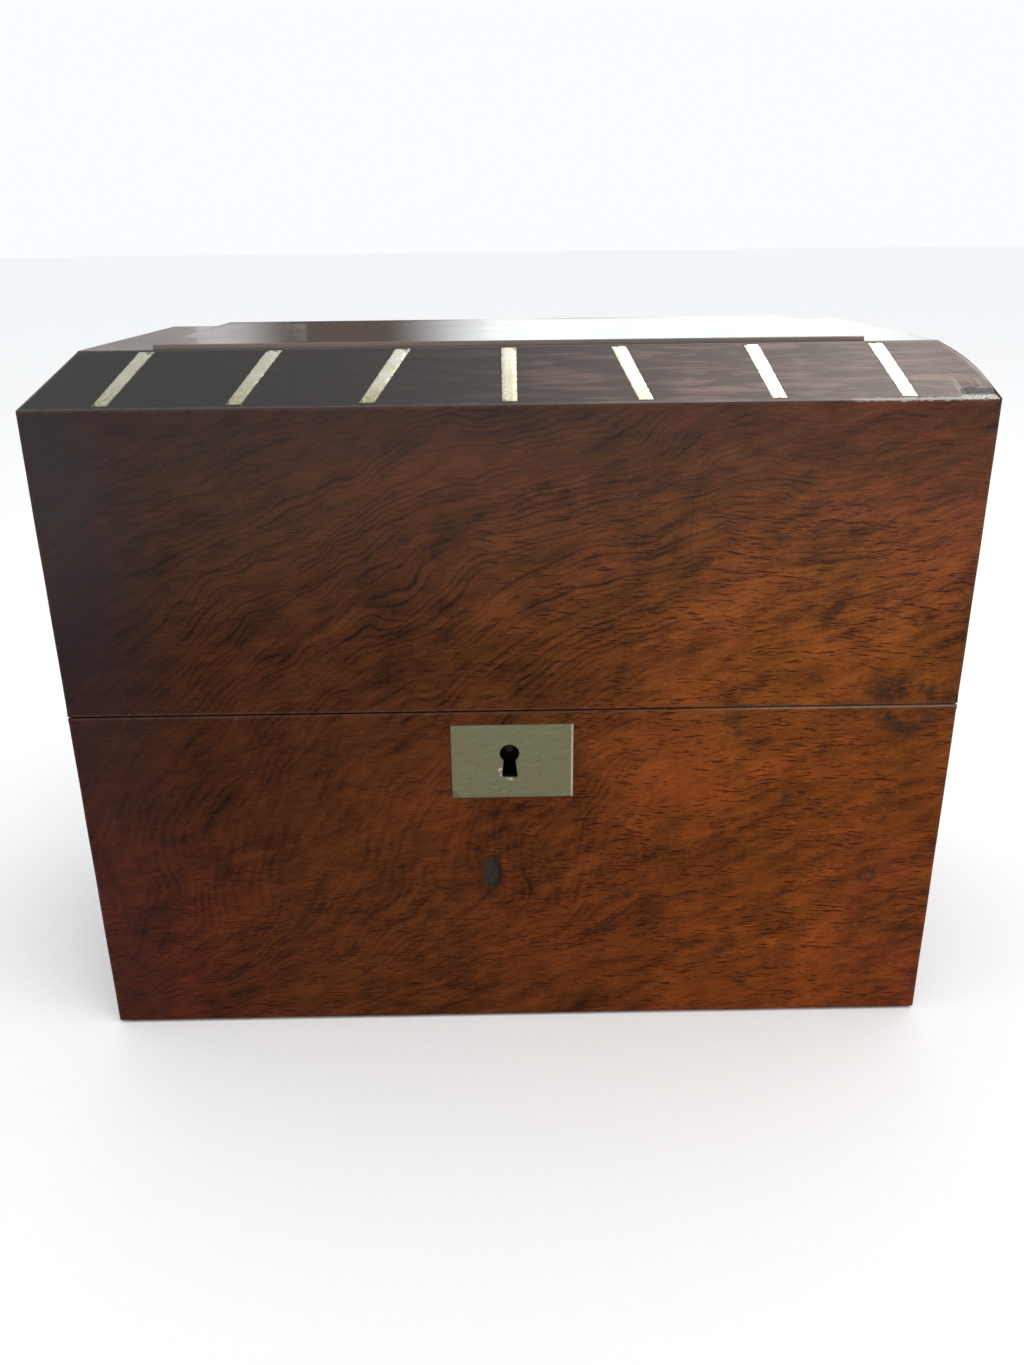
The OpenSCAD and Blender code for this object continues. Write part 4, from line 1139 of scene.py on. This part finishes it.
class CADDY_OT_base_veneers(bpy.types.Operator):
    """Veneer of the base, with the pocket for its escutcheon"""
    bl_idname = "caddy.base_veneers"
    bl_label = "Base veneers"

    def execute(self, context):
        outer = wall_corners(BASE_LOW.z, RIM, 0)
        inner = wall_corners(BASE_LOW.z, RIM, VENEER)
        ends = side_rosewood("base_end_rosewood", "y", "z", "x", 0.75, 0.44, 10.0)
        rear = side_rosewood("base_back_rosewood", "x", "z", "y", 0.75, 0.46, 20.0)
        front = once(front_rosewood, "front_rosewood")
        finishes = {"front": front, "back": rear, "left": ends, "right": ends}
        for side, piece, corners in four_sides("base_%s", outer, inner, BASE_PLANES):
            if side == "front":
                low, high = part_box("escutcheon")
                gap = metal_settings().plate_gap
                hole = rectangle(low.x - 2 * gap, low.z - gap, high.x + gap, high.z + gap)
                carve(piece, [prism("cutter", hole, FACE_FRAME, -2 * VENEER, 2 * VENEER)],
                      corners)
            if side == "back":
                cut_hinge_gaps(piece, "hinge_leaves_base", corners)
            dress(piece, "base_%s_veneer" % side, "base", finishes[side])
        return {"FINISHED"}


def cut_hinge_gaps(piece, node, corners):
    """Openings in a back sheet where the hinge leaves pass through it."""
    cutters = []
    points = [v.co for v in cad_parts[node].data.vertices]
    leaf_z = [p.z for p in points if p.y < HALF_D - 2 * VENEER]
    reach = 2 * MM
    low, high = min(leaf_z), max(leaf_z)
    low, high = (low - reach, high) if low > RIM else (low, high + reach)
    for side in (-1, 1):
        xs = [p.x for p in points if p.x * side > 0]
        cutters.append(prism("cutter", rectangle(min(xs), low, max(xs), high), BACK_FRAME,
                             -2 * VENEER, 2 * VENEER))
    return carve(piece, cutters, corners)


class CADDY_OT_lid_veneers(bpy.types.Operator):
    """Veneer of the lid's walls"""
    bl_idname = "caddy.lid_veneers"
    bl_label = "Lid veneers"

    def execute(self, context):
        outer = wall_corners(SEAM, ARRIS, 0)
        inner = wall_corners(SEAM, ARRIS, VENEER, MITRE * VENEER)
        ends = side_rosewood("lid_end_rosewood", "y", "z", "x", 0.75, 0.42, 30.0)
        rear = side_rosewood("lid_back_rosewood", "x", "z", "y", 0.75, 0.46, 35.0)
        front = once(front_rosewood, "front_rosewood")
        finishes = {"front": front, "back": rear, "left": ends, "right": ends}
        for side, piece, corners in four_sides("lid_%s", outer, inner, LID_PLANES, chipped=True):
            if side == "back":
                cut_hinge_gaps(piece, "hinge_leaves_lid", corners)
            dress(piece, "lid_%s_veneer" % side, "lid", finishes[side])
        return {"FINISHED"}


class CADDY_OT_chamfers(bpy.types.Operator):
    """Veneer of the lid's slopes, with pockets for the strips"""
    bl_idname = "caddy.chamfers"
    bl_label = "Chamfers"

    def execute(self, context):
        ends = side_rosewood("slope_end_rosewood", "y", "z", "x", 0.6, 0.34, 50.0)
        rear = side_rosewood("slope_back_rosewood", "x", "z", "y", 0.6, 0.34, 55.0)
        finishes = {"front": chamfer_rosewood(), "back": rear, "left": ends, "right": ends}
        for side, piece, corners in four_sides("chamfer_%s", slope_corners(0),
                                              slope_corners(VENEER), LID_PLANES, chipped=True):
            if side == "front":
                gap = metal_settings().plate_gap
                cutters = [prism("cutter", grown(strip_outline(n), gap), SLOPE_FRAME,
                                 -0.7 * VENEER, 2 * VENEER) for n in STRIP_NODES]
                carve(piece, cutters, corners)
            dress(piece, "chamfer_%s_veneer" % side, "lid", finishes[side])
        return {"FINISHED"}


class CADDY_OT_strips(bpy.types.Operator):
    """The seven brass strips let into the front slope"""
    bl_idname = "caddy.strips"
    bl_label = "Inlaid strips"

    def execute(self, context):
        finish = strip_brass()
        for n, node in enumerate(STRIP_NODES):
            outline = strip_outline(node)
            piece = prism(node + "_brass", outline, SLOPE_FRAME, -0.68 * VENEER,
                          0.04 * MM, bevel=0.16 * MM, step=1.2 * MM)
            seat_strip(piece, n)
            dress(piece, node, "lid", finish)
        return {"FINISHED"}


def seat_strip(piece, n):
    """Old strips bow a little, and the third has lifted at its foot."""
    outward = Vector((0, -1, 1)).normalized()
    for vertex in piece.data.vertices:
        up = (vertex.co.z - ARRIS) / CHAMFER
        bow = 0.03 * MM * math.sin(3.1 * up + n) - 0.05 * MM
        if n == 2:
            bow += 0.10 * MM * max(0.0, 0.5 - up)
        vertex.co += outward * bow


class CADDY_OT_top(bpy.types.Operator):
    """Bands at the ends of the flat top, and the raised panel between them"""
    bl_idname = "caddy.top"
    bl_label = "Top"

    def execute(self, context):
        finish = top_rosewood()
        k = MITRE * VENEER
        tw, td = HALF_W - CHAMFER, HALF_D - CHAMFER
        x0 = PANEL_HIGH.x
        outer = [(x0, -td, FLAT), (tw, -td, FLAT), (tw, td, FLAT), (x0, td, FLAT)]
        low = FLAT - VENEER
        inner = [(x0, -td - k, low), (tw + k, -td - k, low), (tw + k, td + k, low),
                 (x0, td + k, low)]
        pieces = [face_piece("top_band_right", outer, inner, LID_PLANES),
                  face_piece("top_band_left", mirrored(outer, -1, -1),
                             mirrored(inner, -1, -1), LID_PLANES)]
        for piece in pieces:
            dress(piece, "top_end_bands", "lid", finish)
        dress(self.panel(), "top_panel", "lid", finish)
        return {"FINISHED"}

    def panel(self):
        """The raised panel, its edges rubbed round."""
        margin = 0.6 * MM
        side = HALF_D - CHAMFER - margin
        outline = rectangle(PANEL_LOW.x, -side, PANEL_HIGH.x, side)
        piece = prism("top_panel_sheet", outline, Matrix(), FLAT - VENEER, PANEL_HIGH.z,
                      bevel=0.42 * MM, steps=4, step=6 * MM)
        for vertex in piece.data.vertices:
            if vertex.co.z > PANEL_HIGH.z - 0.02 * MM:
                vertex.co.z -= 0.06 * MM * (1 + noise.noise(vertex.co * 24.0))
        return piece


class CADDY_OT_escutcheon(bpy.types.Operator):
    """The lock's escutcheon and its keyhole"""
    bl_idname = "caddy.escutcheon"
    bl_label = "Escutcheon"

    def execute(self, context):
        low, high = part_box("escutcheon")
        outline = rectangle(low.x, low.z, high.x, high.z)
        piece = prism("escutcheon_plate", outline, FACE_FRAME, -VENEER, -0.02 * MM,
                      holes=[key_outline()], bevel=0.14 * MM, step=2.5 * MM)
        dress(piece, "escutcheon", "base", escutcheon_brass())
        return {"FINISHED"}


# ---------------------------------------------------------------- inside of the box

class CADDY_OT_carcase(bpy.types.Operator):
    """The boards under the veneer, and the ledges"""
    bl_idname = "caddy.carcase"
    bl_label = "Carcase"

    def execute(self, context):
        wood = mahogany()
        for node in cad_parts:
            if node.endswith("_board") or node == "ledge_strips":
                soften(node, wood, 0.15 * MM)
        return {"FINISHED"}


class CADDY_OT_linings(bpy.types.Operator):
    """Lining boards with their lip, and the partition"""
    bl_idname = "caddy.linings"
    bl_label = "Linings"

    def execute(self, context):
        long_way = side_rosewood("lining_rosewood", "x", "z", "y", 0.62, 0.4, 70.0, False)
        short_way = side_rosewood("lining_end_rosewood", "y", "z", "x", 0.62, 0.4, 75.0, False)
        for node in ("lining_front", "lining_back"):
            soften(node, long_way, 0.7 * MM)
        for node in ("lining_left", "lining_right", "partition"):
            soften(node, short_way, 0.7 * MM)
        return {"FINISHED"}


class CADDY_OT_foil(bpy.types.Operator):
    """Crinkled tea lead that lines each well"""
    bl_idname = "caddy.foil"
    bl_label = "Foil"

    def execute(self, context):
        finish = lead_foil()
        for node in ("foil_left", "foil_right"):
            low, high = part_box(node)
            dress(self.tray(node + "_lining", low, high), node, "base", finish)
        return {"FINISHED"}

    def tray(self, name, low, high):
        """An open tray whose faces are crumpled inside the space of the CAD tray."""
        shape = bmesh.new()
        bmesh.ops.create_cube(shape, size=1.0)
        top = [f for f in shape.faces if f.normal.z > 0.9]
        bmesh.ops.delete(shape, geom=top, context="FACES")
        inset = 0.22 * MM
        size = high - low - Vector((2 * inset, 2 * inset, inset))
        middle = (low + high) / 2 + Vector((0, 0, inset / 2))
        for vertex in shape.verts:
            vertex.co = Vector([c * s for c, s in zip(vertex.co, size)]) + middle
        bmesh.ops.subdivide_edges(shape, edges=shape.edges, cuts=30, use_grid_fill=True)
        shape.normal_update()
        for vertex in shape.verts:
            crumple = noise.noise(vertex.co * 210.0) + 0.6 * abs(noise.noise(vertex.co * 90.0))
            if vertex.co.z < high.z - 0.5 * MM:
                vertex.co -= vertex.normal * crumple * 0.14 * MM
        mesh = bpy.data.meshes.new(name)
        shape.to_mesh(mesh)
        shape.free()
        made = new_object(name, mesh)
        skin = made.modifiers.new("gauge", "SOLIDIFY")
        skin.thickness = 0.08 * MM
        skin.offset = 0
        for polygon in mesh.polygons:
            polygon.use_smooth = True
        return made


class CADDY_OT_inner_lids(bpy.types.Operator):
    """The two loose inner lids and their turned knobs"""
    bl_idname = "caddy.inner_lids"
    bl_label = "Inner lids"

    def execute(self, context):
        wood = side_rosewood("inner_lid_rosewood", "x", "y", "z", 0.72, 0.3, 80.0, False)
        black = ebony()
        for side in ("left", "right"):
            soften("tea_lid_" + side, wood, 0.45 * MM, 4)
            low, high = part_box("tea_knob_" + side)
            middle = Vector(((low.x + high.x) / 2, (low.y + high.y) / 2, 0))
            knob = lathe("knob_%s_turned" % side, self.profile(low.z, high), middle)
            dress(knob, "tea_knob_" + side, "inner_lid_" + side, black)
        return {"FINISHED"}

    def profile(self, low_z, high):
        """Tenon, foot with a bead, waisted neck and a domed head with a small button."""
        lid_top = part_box("tea_lid_left")[1].z
        rise = high.z - lid_top
        wide = (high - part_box("tea_knob_left")[0]).y / 2
        shape = [(0.0, low_z), (0.3 * wide, low_z), (0.33 * wide, low_z + 0.2 * MM),
                 (0.33 * wide, lid_top + 0.02 * MM), (0.74 * wide, lid_top + 0.03 * MM)]
        beads = ((0.75, 0.05), (0.72, 0.10), (0.60, 0.13), (0.60, 0.155), (0.66, 0.19),
                 (0.60, 0.235), (0.44, 0.27), (0.385, 0.34), (0.36, 0.42), (0.38, 0.48),
                 (0.52, 0.535), (0.56, 0.55), (0.80, 0.585), (0.94, 0.635), (0.995, 0.70),
                 (0.98, 0.765), (0.90, 0.83), (0.76, 0.885), (0.58, 0.925), (0.40, 0.95),
                 (0.33, 0.955), (0.30, 0.965), (0.24, 0.985), (0.12, 0.998))
        shape += [(wide * r, lid_top + rise * h) for r, h in beads]
        return shape + [(0.0, high.z)]


class CADDY_OT_lock(bpy.types.Operator):
    """Lock, link plate and their screws"""
    bl_idname = "caddy.lock"
    bl_label = "Lock"

    def execute(self, context):
        bright = brass("lock_brass", metal_settings().fitting, (0.34, 0.24, 0.12), 0.34)
        for node in ("lock_plate", "link_plate", "lock_screws", "link_screws"):
            soften(node, bright, 0.1 * MM, 2)
        black = brass("blackened_brass", (0.030, 0.024, 0.016), (0.012, 0.010, 0.008), 0.6,
                      0.4)
        for node in ("lock_case", "lock_posts"):
            soften(node, black, 0.05 * MM, 2)
        for node in ("lock_bolt", "lock_lever"):
            soften(node, bright, 0.05 * MM, 2)
        soften("lock_spring", once(steel, "dull_steel"), 0.04 * MM, 2)
        return {"FINISHED"}


class CADDY_OT_hinges(bpy.types.Operator):
    """The two butt hinges"""
    bl_idname = "caddy.hinges"
    bl_label = "Hinges"

    def execute(self, context):
        bright = brass("hinge_brass", metal_settings().fitting, (0.30, 0.21, 0.11), 0.38)
        for node in ("hinge_leaves_base", "hinge_leaves_lid", "hinge_screws_base",
                     "hinge_screws_lid"):
            soften(node, bright, 0.12 * MM, 2)
        soften("hinge_pins", once(steel, "dull_steel"), 0.15 * MM, 2)
        return {"FINISHED"}


class CADDY_OT_cloths(bpy.types.Operator):
    """Baize under the box and the cloth-faced card in the lid"""
    bl_idname = "caddy.cloths"
    bl_label = "Cloths"

    def execute(self, context):
        soften("underside_baize", baize(), 0.2 * MM)
        soften("lid_ceiling_card", lid_cloth(), 0.4 * MM, 4)
        return {"FINISHED"}


# ---------------------------------------------------------------- stage

class CADDY_OT_stage(bpy.types.Operator):
    """Floor, lights and camera"""
    bl_idname = "caddy.stage"
    bl_label = "Stage"

    def execute(self, context):
        s = context.scene.caddy_stage
        self.floor()
        self.air(context, s.air)
        area("key", (0.35, -0.55, 1.3), (0.0, -0.05, 0.15), (0.9, 0.8), s.key,
             (1.0, 0.95, 0.90))
        card("window", -0.10, 0.74, 0.16, tuple(c * s.window for c in (0.88, 1.0, 0.97)))
        card("flag", -0.47, -0.02, 0.16, (0.10, 0.095, 0.085))
        card("dusk", -1.5, -0.30, 0.20, (0.40, 0.39, 0.39))
        ceiling = card("ceiling", -0.15, 3.0, 1.15, (7.6, 7.0, 6.6), high=1.4)
        ceiling.rotation_euler = (math.radians(90), 0, 0)
        ceiling.location = (0, 0.5, -0.2)
        self.camera(context, s)
        context.scene.view_settings.view_transform = "Standard"
        return {"FINISHED"}

    def floor(self):
        """A wide pale floor."""
        mesh = bpy.data.meshes.new("floor")
        corners = rectangle(-FLOOR_REACH, -FLOOR_REACH, FLOOR_REACH, FLOOR_REACH)
        mesh.from_pydata([(x, y, 0) for x, y in corners], [], [(0, 1, 2, 3)])
        floor = new_object("floor", mesh)
        g = Graph("pale_floor")
        grain = g.noise(g.spot, 0.4, 3)
        mesh.materials.append(g.finish(
            Base_Color=g.mix(grain, (0.92, 0.92, 0.92), (0.95, 0.95, 0.95)), Roughness=0.8,
            Specular_IOR_Level=0.2))
        floor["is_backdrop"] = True

    def air(self, context, strength):
        """Light from all round, and a white backdrop."""
        world = bpy.data.worlds.new("air")
        world.use_nodes = True
        context.scene.world = world
        tree = world.node_tree
        sky = tree.nodes["Background"]
        sky.inputs["Color"].default_value = (0.96, 0.98, 1.0, 1)
        path = tree.nodes.new("ShaderNodeLightPath")
        level = tree.nodes.new("ShaderNodeMapRange")
        level.inputs["To Min"].default_value = strength
        level.inputs["To Max"].default_value = 1.0
        tree.links.new(path.outputs["Is Camera Ray"], level.inputs["Value"])
        tree.links.new(level.outputs["Result"], sky.inputs["Strength"])

    def camera(self, context, s):
        """The camera, from its place, turn, dip and tilt."""
        ahead = Vector((math.sin(s.turn) * math.cos(s.dip), math.cos(s.turn) * math.cos(s.dip),
                        -math.sin(s.dip)))
        right = Vector((math.cos(s.turn), -math.sin(s.turn), 0))
        up = right.cross(ahead)
        c, t = math.cos(s.tilt), math.sin(s.tilt)
        side = right * c + up * t
        head = up * c - right * t
        lens = bpy.data.cameras.new("camera")
        lens.lens = s.lens
        lens.sensor_width = 36
        lens.clip_start = 0.01
        made = new_object("camera", lens)
        turned = Matrix((side, head, -ahead)).transposed().to_4x4()
        turned.translation = Vector(s.eye)
        made.matrix_world = turned
        context.scene.camera = made


def card(name, x0, x1, soft, level, high=0.75):
    """An upright card behind the box with soft sides, which only reflections see."""
    mesh = bpy.data.meshes.new(name)
    mesh.from_pydata([(x, CARD_Y, z) for x, z in rectangle(x0, 0.0, x1, high)], [],
                     [(0, 1, 2, 3)])
    g = Graph(name + "_glow")
    clear = g.make("ShaderNodeBsdfTransparent", {}, {})
    glow = g.make("ShaderNodeEmission", {}, {"Color": (*level, 1)})
    cover = g.x.step(x0 / MM, (x0 + soft) / MM) * g.x.step(x1 / MM, (x1 - soft) / MM)
    mixed = g.make("ShaderNodeMixShader", {}, {0: cover, 1: clear, 2: glow})
    g.tree.links.new(mixed.socket, g.tree.nodes["Material Output"].inputs["Surface"])
    mesh.materials.append(g.material)
    made = new_object(name, mesh)
    made.visible_camera = made.visible_diffuse = made.visible_shadow = False
    made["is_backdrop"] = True
    return made


def area(name, place, target, size, power, colour):
    """A soft rectangular light that faces a point."""
    lamp = bpy.data.lights.new(name, "AREA")
    lamp.shape = "RECTANGLE"
    lamp.size, lamp.size_y = size
    lamp.energy = power
    lamp.color = colour
    made = new_object(name, lamp)
    made.visible_glossy = False
    made.location = place
    aim = Vector(target) - Vector(place)
    made.rotation_euler = aim.to_track_quat("-Z", "Y").to_euler()
    return made


# ---------------------------------------------------------------- add-on

OPERATORS = (
    CADDY_OT_stage, CADDY_OT_base_veneers, CADDY_OT_lid_veneers, CADDY_OT_chamfers,
    CADDY_OT_strips, CADDY_OT_top, CADDY_OT_escutcheon, CADDY_OT_carcase, CADDY_OT_linings,
    CADDY_OT_foil, CADDY_OT_inner_lids, CADDY_OT_lock, CADDY_OT_hinges, CADDY_OT_cloths)
GROUPS = {"caddy_wood": CaddyWood, "caddy_metal": CaddyMetal, "caddy_cloth": CaddyCloth,
          "caddy_stage": CaddyStage}


class CADDY_PT_panel(bpy.types.Panel):
    """Lists the caddy's settings and pieces"""
    bl_idname = "CADDY_PT_panel"
    bl_label = "Tea caddy"
    bl_space_type = "VIEW_3D"
    bl_region_type = "UI"
    bl_category = "Tea caddy"

    def draw(self, context):
        for group, kind in GROUPS.items():
            for name in kind.__annotations__:
                self.layout.prop(getattr(context.scene, group), name)
        for operator in OPERATORS:
            self.layout.operator(operator.bl_idname)


def register():
    for kind in (*GROUPS.values(), *OPERATORS, CADDY_PT_panel):
        bpy.utils.register_class(kind)
    for group, kind in GROUPS.items():
        setattr(bpy.types.Scene, group, bpy.props.PointerProperty(type=kind))


def unregister():
    for group in GROUPS:
        delattr(bpy.types.Scene, group)
    for kind in reversed((*GROUPS.values(), *OPERATORS, CADDY_PT_panel)):
        bpy.utils.unregister_class(kind)


def main():
    register()
    for operator in OPERATORS:
        family, name = operator.bl_idname.split(".")
        getattr(getattr(bpy.ops, family), name)()
    boxes = {"cad": CAD_BOUNDS, "visual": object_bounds()}
    {key: [list(low), list(high)] for key, (low, high) in boxes.items()}


if __name__ == "__main__":
    main()
